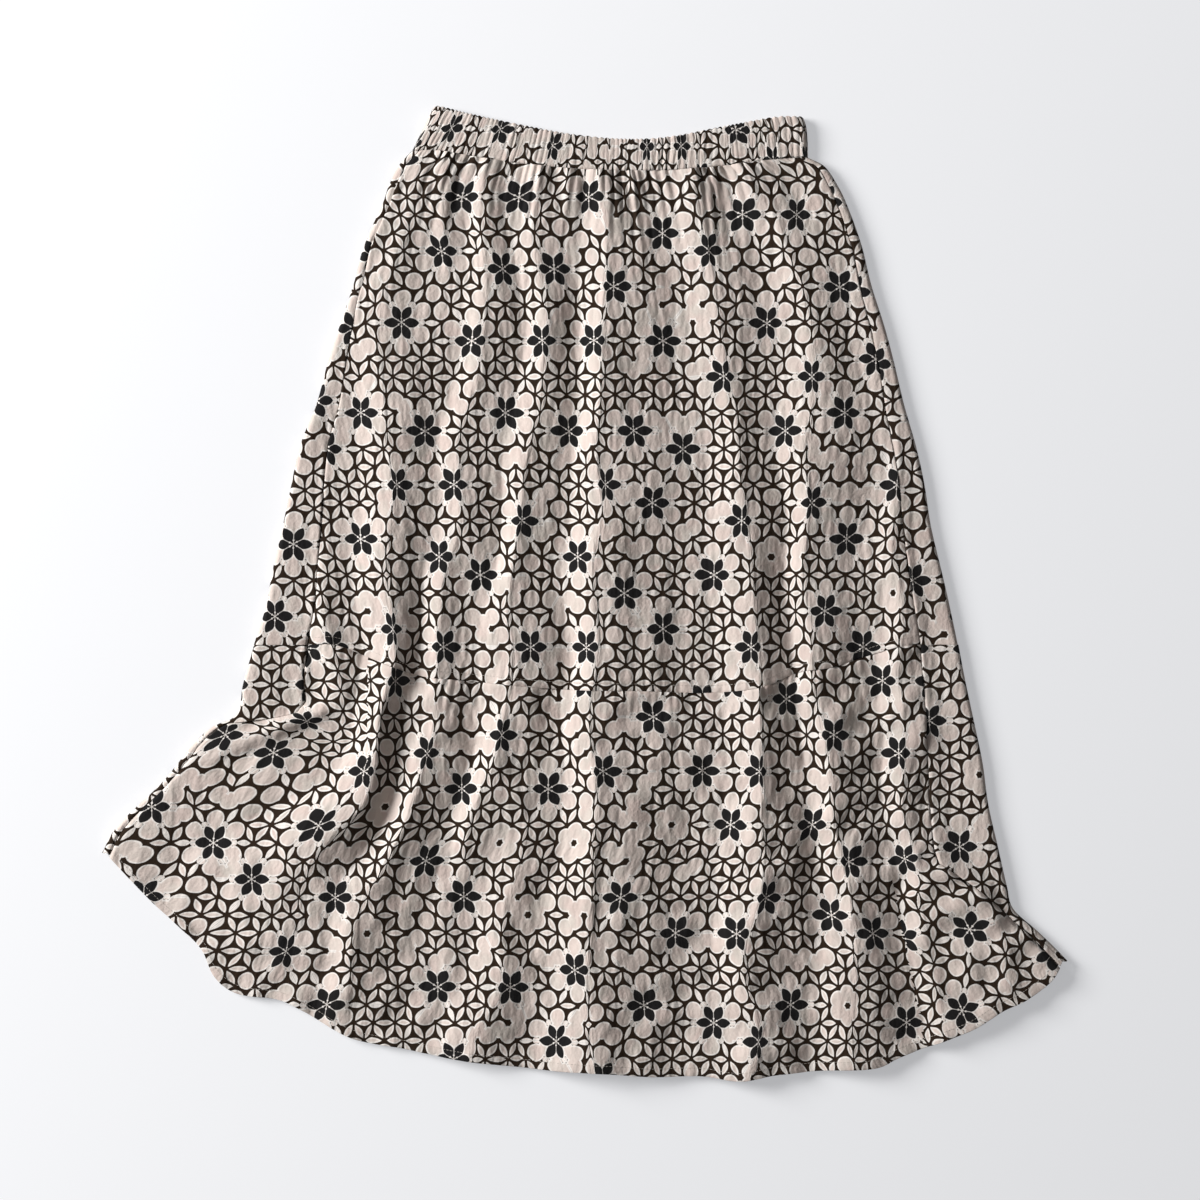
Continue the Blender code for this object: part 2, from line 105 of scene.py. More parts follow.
# Widths of the back that show on top beside each side fold: share of the way down the fold,
# width at the left, width at the right
UPPER_STRIPS = (
    (0.00, 0.002, 0.003), (0.20, 0.002, 0.004), (0.32, 0.003, 0.007), (0.45, 0.012, 0.009),
    (0.60, 0.019, 0.015), (0.75, 0.027, 0.019), (0.88, 0.035, 0.024), (1.00, 0.0405, 0.0275),
)

# Folds that run from waist to hem, each with a row for every section:
# y, x of its left foot, x of its crest, x of its right foot, rise over the panel
FOLDS = {
    "left_shoulder": (
        (0.351, -0.151, -0.134, -0.121, 0.002), (0.280, -0.187, -0.161, -0.115, 0.003),
        (0.213, -0.202, -0.166, -0.113, 0.005), (0.129, -0.202, -0.164, -0.116, 0.008),
        (0.080, -0.194, -0.156, -0.121, 0.009), (0.028, -0.196, -0.160, -0.131, 0.010),
        (-0.039, -0.194, -0.162, -0.142, 0.012), (-0.123, -0.199, -0.163, -0.150, 0.014),
        (-0.165, -0.232, -0.175, -0.160, 0.014), (-0.207, -0.345, -0.184, -0.181, 0.014),
        (-0.249, -0.375, -0.217, -0.170, 0.009), (-0.308, -0.360, -0.235, -0.165, 0.005),
    ),
    "left_gather": (
        (0.360, -0.130, -0.116, -0.105, 0.003), (0.305, -0.130, -0.117, -0.105, 0.002),
        (0.263, -0.130, -0.118, -0.106, 0.0),
    ),
    "left_edge": (
        (0.045, -0.231, -0.214, -0.197, 0.001), (-0.006, -0.236, -0.210, -0.190, 0.004),
        (-0.039, -0.236, -0.207, -0.186, 0.006), (-0.077, -0.236, -0.201, -0.184, 0.005),
        (-0.102, -0.235, -0.197, -0.182, 0.002),
    ),
    "second": (
        (0.351, -0.099, -0.079, -0.067, 0.004), (0.280, -0.105, -0.081, -0.059, 0.006),
        (0.213, -0.111, -0.083, -0.048, 0.0065), (0.129, -0.121, -0.096, -0.066, 0.0055),
        (0.028, -0.136, -0.112, -0.078, 0.006), (-0.039, -0.145, -0.118, -0.086, 0.007),
        (-0.123, -0.151, -0.121, -0.098, 0.0085), (-0.174, -0.168, -0.138, -0.105, 0.0105),
        (-0.207, -0.184, -0.156, -0.120, 0.011), (-0.258, -0.214, -0.182, -0.130, 0.010),
        (-0.300, -0.228, -0.192, -0.147, 0.008), (-0.350, -0.232, -0.196, -0.150, 0.005),
    ),
    "third": (
        (0.351, -0.055, -0.037, -0.027, 0.004), (0.280, -0.060, -0.033, -0.012, 0.006),
        (0.213, -0.049, -0.026, -0.004, 0.006), (0.129, -0.070, -0.042, -0.013, 0.007),
        (0.028, -0.080, -0.056, -0.020, 0.008), (-0.039, -0.087, -0.057, -0.020, 0.009),
        (-0.123, -0.098, -0.070, -0.021, 0.009), (-0.174, -0.106, -0.086, -0.037, 0.008),
        (-0.216, -0.113, -0.097, -0.071, 0.004), (-0.249, -0.122, -0.110, -0.088, 0.0),
    ),
    "third_lower": (
        (-0.144, -0.071, -0.046, -0.021, 0.0), (-0.207, -0.080, -0.046, -0.023, 0.005),
        (-0.291, -0.101, -0.061, -0.036, 0.007), (-0.367, -0.128, -0.084, -0.045, 0.007),
        (-0.422, -0.135, -0.092, -0.050, 0.007),
    ),
    "centre_gather": (
        (0.360, -0.027, -0.018, -0.007, 0.003), (0.297, -0.027, -0.016, -0.004, 0.0),
    ),
    "centre": (
        (0.351, -0.009, 0.012, 0.028, 0.005), (0.280, -0.009, 0.021, 0.068, 0.008),
        (0.213, -0.007, 0.019, 0.080, 0.010), (0.129, -0.012, 0.016, 0.084, 0.011),
        (0.028, -0.019, 0.013, 0.088, 0.012), (-0.123, -0.020, 0.012, 0.100, 0.012),
        (-0.207, -0.026, 0.012, 0.097, 0.013), (-0.291, -0.036, 0.010, 0.092, 0.013),
        (-0.367, -0.042, 0.012, 0.087, 0.013), (-0.422, -0.046, 0.012, 0.087, 0.013),
    ),
    "right_gather": (
        (0.360, 0.032, 0.042, 0.055, 0.004), (0.297, 0.038, 0.047, 0.060, 0.001),
        (0.271, 0.038, 0.047, 0.060, 0.0),
    ),
    "fifth": (
        (0.351, 0.077, 0.098, 0.106, 0.005), (0.280, 0.074, 0.112, 0.139, 0.007),
        (0.213, 0.085, 0.123, 0.154, 0.0065), (0.129, 0.089, 0.136, 0.165, 0.0075),
        (0.028, 0.098, 0.144, 0.168, 0.010), (-0.039, 0.103, 0.148, 0.172, 0.011),
        (-0.123, 0.111, 0.155, 0.183, 0.012), (-0.207, 0.106, 0.156, 0.190, 0.013),
        (-0.291, 0.102, 0.150, 0.196, 0.012), (-0.367, 0.098, 0.144, 0.186, 0.011),
        (-0.422, 0.096, 0.140, 0.188, 0.010),
    ),
    "fifth_gather": (
        (0.360, 0.104, 0.112, 0.121, 0.003), (0.288, 0.102, 0.114, 0.124, 0.0),
    ),
    "sixth": (
        (0.351, 0.120, 0.144, 0.164, 0.004), (0.280, 0.141, 0.173, 0.221, 0.006),
        (0.213, 0.154, 0.198, 0.233, 0.008), (0.129, 0.161, 0.191, 0.246, 0.009),
        (0.028, 0.166, 0.190, 0.236, 0.010), (-0.039, 0.169, 0.194, 0.236, 0.010),
        (-0.123, 0.178, 0.202, 0.243, 0.011), (-0.207, 0.190, 0.218, 0.262, 0.011),
        (-0.291, 0.197, 0.231, 0.270, 0.011), (-0.367, 0.192, 0.230, 0.280, 0.009),
        (-0.422, 0.192, 0.232, 0.286, 0.008),
    ),
    "right_shoulder": (
        (0.137, 0.255, 0.268, 0.280, 0.002), (0.028, 0.241, 0.263, 0.279, 0.006),
        (-0.039, 0.240, 0.267, 0.296, 0.0075), (-0.123, 0.244, 0.270, 0.308, 0.0075),
        (-0.207, 0.252, 0.274, 0.309, 0.008), (-0.291, 0.269, 0.293, 0.385, 0.006),
        (-0.367, 0.284, 0.306, 0.400, 0.005), (-0.422, 0.289, 0.311, 0.400, 0.004),
    ),
    "right_flap": (
        (-0.200, 0.256, 0.280, 0.300, 0.0), (-0.227, 0.262, 0.298, 0.316, 0.003),
        (-0.266, 0.276, 0.345, 0.375, 0.005), (-0.291, 0.286, 0.370, 0.440, 0.005),
        (-0.367, 0.300, 0.380, 0.460, 0.005), (-0.422, 0.308, 0.380, 0.460, 0.004),
    ),
}

# The rolled edge of the left corner: distance along it, half width, rise over the panel
ROLL_START, ROLL_END = (-0.203, -0.092), (-0.330, -0.142)
ROLL = ((0.0, 0.010, 0.0), (0.02, 0.011, 0.004), (0.06, 0.012, 0.005), (0.10, 0.014, 0.003),
        (0.145, 0.016, 0.0))


def curve_at(points, shares):
    """Points at shares of the length of the Catmull-Rom curve through a few points."""
    p = np.asarray(points, float)
    p = np.vstack([2 * p[0] - p[1], p, 2 * p[-1] - p[-2]])
    u = np.linspace(0, 1, 16, endpoint=False)[:, None]
    spans = [
        b + 0.5 * u * (c - a + u * (2 * a - 5 * b + 4 * c - d + u * (3 * b - a - 3 * c + d)))
        for a, b, c, d in zip(p, p[1:], p[2:], p[3:])
    ]
    dense = np.vstack([*spans, p[-2:-1]])
    run = np.append(0, np.cumsum(np.linalg.norm(np.diff(dense, axis=0), axis=1)))
    return np.column_stack([np.interp(shares * run[-1], run, column) for column in dense.T])


def level_at(points, x):
    """y of a line across the skirt at each x."""
    line = curve_at(points, np.linspace(0, 1, 400))
    return np.interp(x, line[:, 0], line[:, 1])


def shares_with_close_ends(count, length):
    """count + 1 even shares from 0 to 1 of a length, with a few more close to each end."""
    close = np.array(CLOSE_ROWS) / length
    return np.sort(np.concatenate([np.linspace(0, 1, count + 1), close, 1 - close]))


def tier_plan(folds, strips, lines, gap, lifts, across, down):
    """Plan points of one tier: straight lines from its upper line to its lower one, plus the
    bend of each side line times a power of the share across, so that it fades inwards."""
    table = np.array(strips)
    sides = []
    for fold, side, column in ((folds[0], 1, 1), (folds[1], -1, 2)):
        edge = curve_at(fold, down)
        edge[:, 0] += side * (FOLD_RADIUS + gap + np.interp(down, table[:, 0], table[:, column]))
        sides.append(edge)
    ends = []
    for line, row, lift, pull in zip(lines, (0, -1), lifts, ((1 - down), down)):
        x = sides[0][row, 0] + across * (sides[1][row, 0] - sides[0][row, 0])
        y = level_at(line, x) + lift
        for edge, level in zip(sides, (y[0], y[-1])):
            edge[:, 1] += pull**END_PULL * (level - edge[row, 1])
        ends.append(np.column_stack([x, y]))
    s, t = across[None, :, None], down[:, None, None]
    plan = (1 - t) * ends[0] + t * ends[1]
    left_bend = sides[0][:, None] - plan[:, :1]
    right_bend = sides[1][:, None] - plan[:, -1:]
    return plan + (1 - s) ** SIDE_PULL * left_bend + s**SIDE_PULL * right_bend


def distance_to(line, plan):
    """Distance from each plan point to the nearest of a line's points, in single precision."""
    gap = plan[..., None, :].astype(np.float32) - line.astype(np.float32)
    return np.sqrt((gap**2).sum(axis=-1).min(axis=-1))


FIELD_STEP, FIELD_SIZE = 0.001, 1024  # a square of noise that repeats every 1.024 m
NOISE_BAND = 0.35  # width of the ring of wave numbers that a noise keeps


def soft_noise(seed, across, along):
    """A square of random waves about across by along metres long: white noise whose spectrum
    is kept in a ring round those lengths, scaled to a spread of 1."""
    noise = np.fft.rfft2(np.random.default_rng(seed).standard_normal((FIELD_SIZE, FIELD_SIZE)))
    over = np.fft.rfftfreq(FIELD_SIZE, FIELD_STEP)[None] * across
    down = np.fft.fftfreq(FIELD_SIZE, FIELD_STEP)[:, None] * along
    field = np.fft.irfft2(noise * np.exp(-(((np.hypot(over, down) - 1) / NOISE_BAND) ** 2)))
    return field / field.std()


def read(field, place):
    """The field at each place, in metres: a mean of its four nearest points, by nearness."""
    x, y = (place[..., k] / FIELD_STEP % FIELD_SIZE for k in range(2))
    i, j = x.astype(int), y.astype(int)
    f, g = x - i, y - j
    ahead, above = (i + 1) % FIELD_SIZE, (j + 1) % FIELD_SIZE
    i, j = i % FIELD_SIZE, j % FIELD_SIZE
    low = field[j, i] * (1 - f) + field[j, ahead] * f
    high = field[above, i] * (1 - f) + field[above, ahead] * f
    return low * (1 - g) + high * g


CRINKLE = soft_noise(3, 0.011, 0.045)
WRINKLE = soft_noise(5, 0.040, 0.150)
WANDER = soft_noise(8, 0.120, 0.120)
CRINKLE_RISE, WRINKLE_RISE = 0.00035, 0.00045


def flank(share, lean, straight=0.0):
    """1 at a crest and 0 at the foot: half a cosine wave of the share to the power lean, mixed
    with a straight line, which makes the crest and the foot crisp."""
    share = np.clip(share, 0, 1)
    soft = 0.5 + 0.5 * np.cos(np.pi * share**lean)
    return (1 - straight) * soft + straight * (1 - share)


LADDER = np.linspace(-0.44, 0.42, 431)  # levels, 2 mm apart
ROUNDING = np.exp(-((np.arange(-16, 17) / 8) ** 2))  # bell curve over the ladder's steps


def fold_lines(plan, rows):
    """x of one fold's left foot, crest and right foot, and its rise, at each plan point: read
    from its rows on a ladder of levels, and rounded off along the fold. The left foot and the
    crest then move together, which makes the left flank steep."""
    rows = np.array(rows)[::-1]
    outside = (LADDER < rows[0, 0]) | (LADDER > rows[-1, 0] + ROW_REACH)
    columns = [np.interp(LADDER, rows[:, 0], rows[:, k]) for k in range(1, 5)]
    columns[3] = np.where(outside, 0, columns[3])
    kernel = ROUNDING / ROUNDING.sum()
    soft = [np.convolve(np.pad(column, 16, "edge"), kernel, "valid") for column in columns]
    left, crest, right, rise = (np.interp(plan[..., 1], LADDER, column) for column in soft)
    spare = (1 - STEEP) / 2 * (crest - left)
    return left + spare, crest - spare, right, rise


def fold_height(plan, rows):
    """Rise of one lengthwise fold: its rise times a flank on each side of its crest."""
    left, crest, right, rise = fold_lines(plan, rows)
    off = plan[..., 0] - crest
    on_left = flank(-off / (crest - left), LEFT_LEAN, LEFT_STRAIGHT)
    on_right = flank(off / (right - crest), RIGHT_LEAN, RIGHT_STRAIGHT)
    return LOFT * rise * np.where(off < 0, on_left, on_right)


def roll_height(plan):
    """Rise of the rolled edge at the left corner: half a cosine wave across a slanted line."""
    start = np.array(ROLL_START)
    along = np.array(ROLL_END) - start
    along /= np.linalg.norm(along)
    offset = plan - start
    distance = offset @ along
    aside = np.abs(offset @ np.array([-along[1], along[0]]))
    table = np.array(ROLL)
    half_width = np.interp(distance, table[:, 0], table[:, 1])
    rise = np.interp(distance, table[:, 0], table[:, 2])
    return rise * flank(aside / half_width, 1)


def bent(plan):
    """The plan with its x shifted by slow noise, which keeps the folds from running straight."""
    return np.dstack([plan[..., 0] + BEND * read(WANDER, plan + 0.6), plan[..., 1]])


def tucked(plan):
    """Cloth hidden where a fold turns over its crest: a bell curve just right of each crest,
    whose area is a share of the fold's rise."""
    place = bent(plan)
    hidden = 0
    for rows in FOLDS.values():
        _, crest, _, rise = fold_lines(place, rows)
        hidden = hidden + rise * np.exp(-(((place[..., 0] - crest) / TUCK_WIDTH - 0.5) ** 2))
    return TUCK * hidden / (TUCK_WIDTH * np.sqrt(np.pi))


def top_height(plan):
    """Height of the skirt's upper face: its level, raised beside the side folds and at the
    waist, plus every fold's rise, which fades out beside the side folds."""
    all_sides = (LEFT_UPPER_FOLD, LEFT_LOWER_FOLD, RIGHT_UPPER_FOLD, RIGHT_LOWER_FOLD)
    sides = np.vstack([curve_at(fold, np.linspace(0, 1, 90)) for fold in all_sides])
    to_side = np.maximum(distance_to(sides, plan) - FOLD_RADIUS, 0)
    to_waist = distance_to(curve_at(WAIST_SEAM, np.linspace(0, 1, 200)), plan)
    side = np.exp(-((to_side / SIDE_REACH) ** 2))
    waist = np.exp(-((to_waist / WAIST_REACH) ** 2))
    level = PANEL_LEVEL + (2 * FOLD_RADIUS - PANEL_LEVEL) * side
    level = np.maximum(level, PANEL_LEVEL + (WAIST_LEVEL - PANEL_LEVEL) * waist)
    place = bent(plan)
    folds = sum(fold_height(place, rows) for rows in FOLDS.values()) + roll_height(plan)
    return level + folds * (1 - np.exp(-((to_side / SIDE_FADE) ** 2)))


def crinkled(place, shift=0.0):
    """Small relief of the cloth: pinched crinkles, the size of a noise with its peaks cut off
    and less its mean, on soft lengthwise wrinkles."""
    fine = np.minimum(np.abs(read(CRINKLE, place + shift)), 1.8) - 0.8
    return CRINKLE_RISE * fine + WRINKLE_RISE * read(WRINKLE, place + shift)


def flutes(across, depth, count, rise, reach, seed):
    """Gathers that leave a seam: rounded ridges with pinched valleys, the size of a sine of
    the share across, of uneven pitch and rise, which die away with the distance from it."""
    along = np.broadcast_to(across[None, :], depth.shape) * 0.33
    drift = read(WANDER, np.dstack([along * 1.6 + seed, depth * 0.3]))
    uneven = 1 + 0.5 * read(WRINKLE, np.dstack([along * 1.3, depth * 0.2 + seed]))
    ridge = np.abs(np.sin(np.pi * count * across[None, :] + 1.6 * drift)) ** 0.8 - 0.6
    return rise * ridge * np.clip(uneven, 0.15, 1.9) * np.exp(-((depth / reach) ** 1.2))


def run_across(surface, fullness):
    """Length of cloth from the first column across each row of a grid: the length run over
    the surface times the fullness that is taken up there."""
    step = np.hypot(np.diff(surface[..., 0], axis=1), np.diff(surface[..., 2], axis=1))
    step = step * (fullness[:, 1:] + fullness[:, :-1]) / 2
    return np.hstack([np.zeros((len(step), 1)), np.cumsum(step, axis=1)])


def cloth_place(surface, fullness):
    """Place on the flat cloth: the length run from the middle column, and the level."""
    run = run_across(surface, fullness)
    middle = run.shape[1] // 2
    return np.dstack([run - run[:, [middle]] + surface[:, [middle], 0], surface[..., 1]])


def corners_of(values):
    """The values at the four corners of each face of a grid."""
    return np.stack([values[:-1, :-1], values[1:, :-1], values[1:, 1:], values[:-1, 1:]], axis=2)


def numbered(surface):
    """The number of each point of a grid, in the grid's rows and columns."""
    return np.arange(surface[..., 0].size).reshape(surface.shape[:2])


def smooth_piece(name, points, quads, materials, places=None):
    """An object from points and faces of four; the places at their corners are its UV map."""
    mesh = bpy.data.meshes.new(name)
    mesh.from_pydata(points.reshape(-1, 3).tolist(), [], quads.reshape(-1, 4).tolist())
    if places is not None:
        uv = mesh.uv_layers.new(name="cloth")
        uv.uv.foreach_set("vector", places.astype(np.float32).ravel())
    mesh.shade_smooth()
    for material in materials:
        mesh.materials.append(material)
    piece = bpy.data.objects.new(name, mesh)
    bpy.context.scene.collection.objects.link(piece)
    return piece


def shell(name, surface, place, materials, flip=False):
    """A grid of points as a sheet of cloth with its places as UV map, given a wall by Solidify;
    flip turns the faces over. A place for each face's four corners breaks the print."""
    quads = corners_of(numbered(surface))
    places = place if place.ndim == 4 else corners_of(place)
    if flip:
        quads, places = quads[:, :, ::-1], places[:, :, ::-1]
    piece = smooth_piece(name, surface, quads, materials, places)
    solid = piece.modifiers.new("wall", "SOLIDIFY")
    solid.thickness = CLOTH
    solid.offset = -1
    solid.material_offset = len(materials) - 1
    return piece


class Number:
    """A number inside a material: arithmetic on it adds the Math nodes that work it out."""

    def __init__(self, socket):
        self.socket = socket

    def __add__(self, other):
        return maths("ADD", self, other)

    def __sub__(self, other):
        return maths("SUBTRACT", self, other)

    def __rsub__(self, other):
        return maths("SUBTRACT", other, self)

    def __mul__(self, other):
        return maths("MULTIPLY", self, other)

    def __truediv__(self, other):
        return maths("DIVIDE", self, other)

    def __pow__(self, other):
        return maths("POWER", self, other)

    def __lt__(self, other):
        return maths("LESS_THAN", self, other)

    def __gt__(self, other):
        return maths("GREATER_THAN", self, other)

    __radd__ = __add__
    __rmul__ = __mul__


def feed(socket, value):
    """Gives a node's input a number, or the number that another node works out."""
    if isinstance(value, Number):
        socket.id_data.links.new(value.socket, socket)
    else:
        socket.default_value = value


def maths(operation, *values, clamp=False):
    """One Math node."""
    tree = next(value.socket.id_data for value in values if isinstance(value, Number))
    node = tree.nodes.new("ShaderNodeMath")
    node.operation = operation
    node.use_clamp = clamp
    for socket, value in zip(node.inputs, values):
        feed(socket, value)
    return Number(node.outputs[0])


def floor(value):
    """The largest whole number that isn't above the value."""
    return maths("FLOOR", value)


def length(x, y):
    """Distance of the place (x, y) from the origin."""
    return maths("SQRT", x * x + y * y)


def least(*values):
    """The smallest of the values, taken two at a time."""
    first, *others = values
    return maths("MINIMUM", first, least(*others)) if others else first


def most(*values):
    """The largest of the values, taken two at a time."""
    first, *others = values
    return maths("MAXIMUM", first, most(*others)) if others else first


def edge(distance, sharpness=40.0):
    """1 inside a shape and 0 outside it, from the signed distance to its outline."""
    return maths("MULTIPLY_ADD", distance, sharpness, 0.5, clamp=True)


def place_of(x, y, z=0.0):
    """A Combine XYZ node's output."""
    tree = x.socket.id_data
    node = tree.nodes.new("ShaderNodeCombineXYZ")
    for socket, value in zip(node.inputs, (x, y, z)):
        feed(socket, value)
    return node.outputs[0]


def luck(x, y, z):
    """Three fixed random numbers from 0 to 1 for each whole x, y and z."""
    tree = x.socket.id_data
    noise = tree.nodes.new("ShaderNodeTexWhiteNoise")
    noise.noise_dimensions = "3D"
    split = tree.nodes.new("ShaderNodeSeparateColor")
    tree.links.new(place_of(x + 200.5, y + 200.5, z), noise.inputs["Vector"])
    tree.links.new(noise.outputs["Color"], split.inputs[0])
    return [Number(socket) for socket in split.outputs]


def cloud(x, y, scale, detail=2.0):
    """Smooth noise from 0 to 1 over the plane."""
    tree = x.socket.id_data
    noise = tree.nodes.new("ShaderNodeTexNoise")
    noise.noise_dimensions = "2D"
    noise.inputs["Scale"].default_value = scale
    noise.inputs["Detail"].default_value = detail
    tree.links.new(place_of(x, y), noise.inputs["Vector"])
    return Number(noise.outputs["Fac"])


PRINT_PITCH = 0.0168  # side of the print's triangles
RISE = 3**0.5 / 2  # height of a triangle of side 1
CENTRE = RISE / 3  # distance from a triangle's centre to its sides
PRINT_DRAW = 1.04  # how much longer the print is lengthwise than across
DISC = 0.424  # radius of a disc
LEAF_WIDTH, LEAF_LENGTH = 0.138, 0.75  # half the width in the middle, and the length
OUTLINE = 0.106  # dark line between a disc and a leaf
PETAL_MIDDLE, PETAL_REACH = 0.50, 0.395  # from the flower's centre, and half a petal's length
PETAL_WIDTH, PETAL_ROUND = 0.236, 0.78  # half its width, and the power that rounds its sides
PETAL_GAP = 0.012  # half the pale line between two petals
TIP = 0.150  # radius of the pale bead beyond each petal
STAMEN, STAMEN_LENGTH, STAMEN_HEAD = 0.014, 0.195, 0.042  # half width, length, head's radius
DRIFT_ACROSS, DRIFT_ALONG = 0.35, 0.12  # how far the print runs off its lattice
BLOCK = 4  # cells along each side of the block that holds one flower
FLOWERED = 0.93  # share of the flowers that have petals
RINGS, BARE_RING, BESIDE = 1.2, 0.6, 1.7  # reach of a flower's discs, without petals, and past it
DISC_ODDS, DISC_CLUSTER, MOST_ODDS = 0.36, 1.7, 0.56  # mean, change from place to place, limit


def flowers_near(i, j, third):
    """The flowers that can reach a triangle, each as its node and its lot. The lattice is cut,
    along its steep lines, into blocks of cells whose rows are shifted by chance, and a flower
    stands by chance on one of the four inner nodes of each block."""
    rising, level = i + j + 2 * third, -1 * (i + third)
    found = []
    for below in (0, 1):
        row = floor(level / BLOCK) - below
        shift = floor(BLOCK * luck(row, row, 3.5)[0])
        for before in (0, 1):
            block = floor((rising + shift) / BLOCK) - before
            first, second, lot = luck(block, row, 7.5)
            along = BLOCK * block - shift + 2 + (first > 0.5)
            aside = BLOCK * row + 2 + (second > 0.5)
            found.append((-1 * aside, along + aside, lot))
    return found


def spread_from(column, level, p, q):
    """Place of lattice point (p, q) as seen from a node, in the plane."""
    over, up = p - column, q - level
    return over + 0.5 * up, RISE * up


def nearest_flower(flowers, p, q):
    """Place of (p, q) as seen from the nearest flower, its distance, and the flower's lot."""
    best = None
    for column, level, lot in flowers:
        x, y = spread_from(column, level, p, q)
        seen = (x, y, length(x, y), lot)
        if best is None:
            best = seen
        else:
            closer = seen[2] < best[2]
            best = tuple(old + closer * (new - old) for old, new in zip(best, seen))
    return best


def disc_at(i, j, kind, radius, flowers):
    """Signed distance into the disc of one triangle, or outside it where it has none. Those
    that make up a flower always have one; any other has one by chance, often both triangles
    of a cell, more often in some places and seldom beside a flower."""
    third = (1 + kind) / 3
    gaps = [(length(*spread_from(c, l, i + third, j + third)), lot) for c, l, lot in flowers]
    held = most(*(gap < RINGS - (RINGS - BARE_RING) * (lot > FLOWERED) for gap, lot in gaps))
    beside = least(*(gap for gap, _ in gaps)) < BESIDE
    odds = least((cloud(i, j, 0.23, 1.0) - 0.5) * DISC_CLUSTER + DISC_ODDS, MOST_ODDS)
    odds = odds * (1 - 0.5 * beside)
    chance = 0.6 * luck(i, j, 5.5)[0] + 0.4 * luck(i, j, kind)[0] < odds
    return DISC - radius - 4 * (1 - most(held, chance))


def print_masks(u, v):
    """The print as two masks, pale and petal, and the distance into the pale shapes. The plane
    is a lattice of triangles of side 1 with a pale leaf on each side, discs on some triangles,
    and flowers on some nodes: six dark petals over two rings of discs."""
    u = u + (cloud(u * 0.9, v * 0.35, 1.0, 1.0) - 0.5) * DRIFT_ACROSS
    v = v + (cloud(v, u, 1.1) - 0.5) * DRIFT_ALONG
    q = v / (RISE * PRINT_DRAW)
    p = u - 0.5 * q
    i, j = floor(p), floor(q)
    f, g = p - i, q - j
    down = (f + g) > 1
    turn = 1 - 2 * down
    f, g = f * turn + down, g * turn + down
    h = 1 - f - g
    low, high = least(f, g, h), most(f, g, h)
    depth, along = RISE * low, high + 0.5 * low - 0.5
    beyond_f = f < (low + 1e-5)
    beyond_g = (g < (low + 1e-5)) * (1 - beyond_f)
    next_i, next_j = i - turn * beyond_f, j - turn * beyond_g
    flowers = flowers_near(i, j, (1 + down) / 3)
    own = disc_at(i, j, down, length(along, CENTRE - depth), flowers)
    beyond = flowers_near(next_i, next_j, (2 - down) / 3)
    across = disc_at(next_i, next_j, 1 - down, length(along, CENTRE + depth), beyond)
    discs = most(own, across)
    leaf = LEAF_WIDTH * (1 - (2 / LEAF_LENGTH) ** 2 * along * along) - depth
    pale = most(discs, least(leaf, -1 * discs - OUTLINE))

    x, y, reach, lot = nearest_flower(flowers, p, q)
    angle = maths("ARCTAN2", y, x)
    sixth = np.pi / 3
    on_petal = angle - sixth * maths("ROUND", angle / sixth)
    on_ring = angle - sixth * (floor(angle / sixth) + 0.5)
    out = reach * maths("COSINE", on_petal)
    aside = maths("ABSOLUTE", reach * maths("SINE", on_petal))
    bare = 4 * (lot > FLOWERED)
    bow = (out - PETAL_MIDDLE) / PETAL_REACH
    width = PETAL_WIDTH * most(1 - bow * bow, 0.0) ** PETAL_ROUND
    petal = least(width - aside, 0.5 * out - RISE * aside - PETAL_GAP) - bare
    tip = 4 * (TIP - length(out - 1.0, aside)) - bare
    over, off = reach * maths("COSINE", on_ring), reach * maths("SINE", on_ring)
    stamen = least(STAMEN - maths("ABSOLUTE", off), STAMEN_LENGTH - over)
    stamen = most(stamen, STAMEN_HEAD - length(over - STAMEN_LENGTH, off)) - bare
    pale = most(least(most(pale, tip), -1 * petal), stamen)
    return edge(pale), edge(least(petal, -1 * stamen)), pale


def mixed(tree, share, first, second):
    """A Mix node between two colours, each a colour or a node's output."""
    node = tree.nodes.new("ShaderNodeMix")
    node.data_type = "RGBA"
    feed(node.inputs["Factor"], share)
    for socket, colour in zip((node.inputs["A"], node.inputs["B"]), (first, second)):
        if isinstance(colour, tuple):
            socket.default_value = (*colour, 1)
        else:
            tree.links.new(colour, socket)
    return node.outputs["Result"]


def plain_material(name, settings):
    """A material, its tree and its shader, with the numbers and colours set on the shader's
    own sockets."""
    material = bpy.data.materials.new(name)
    material.use_nodes = True
    shader = material.node_tree.nodes["Principled BSDF"]
    for socket, value in settings.items():
        shader.inputs[socket].default_value = value
    return material, material.node_tree, shader


# Colours of the pale shapes, their rims, the ground and the petals
CREAM = (0.648, 0.550, 0.498)
ROSE_CREAM = (0.580, 0.474, 0.428)
GREY_CREAM = (0.555, 0.494, 0.443)
RIM_CREAM = (0.830, 0.795, 0.755)
EARTH_BLACK = (0.0172, 0.0092, 0.0044)
BLUE_BLACK = (0.0075, 0.0068, 0.0070)
RIM, RIM_SHARE = 0.065, 0.72  # width of a pale shape's rim, and how much of its own colour shows
SHOW_THROUGH = 0.38  # how much of the print the wrong side shows
WEAVE_PITCH, WEAVE_RISE, FINE_CRINKLE = 0.0007, 0.02, 0.30


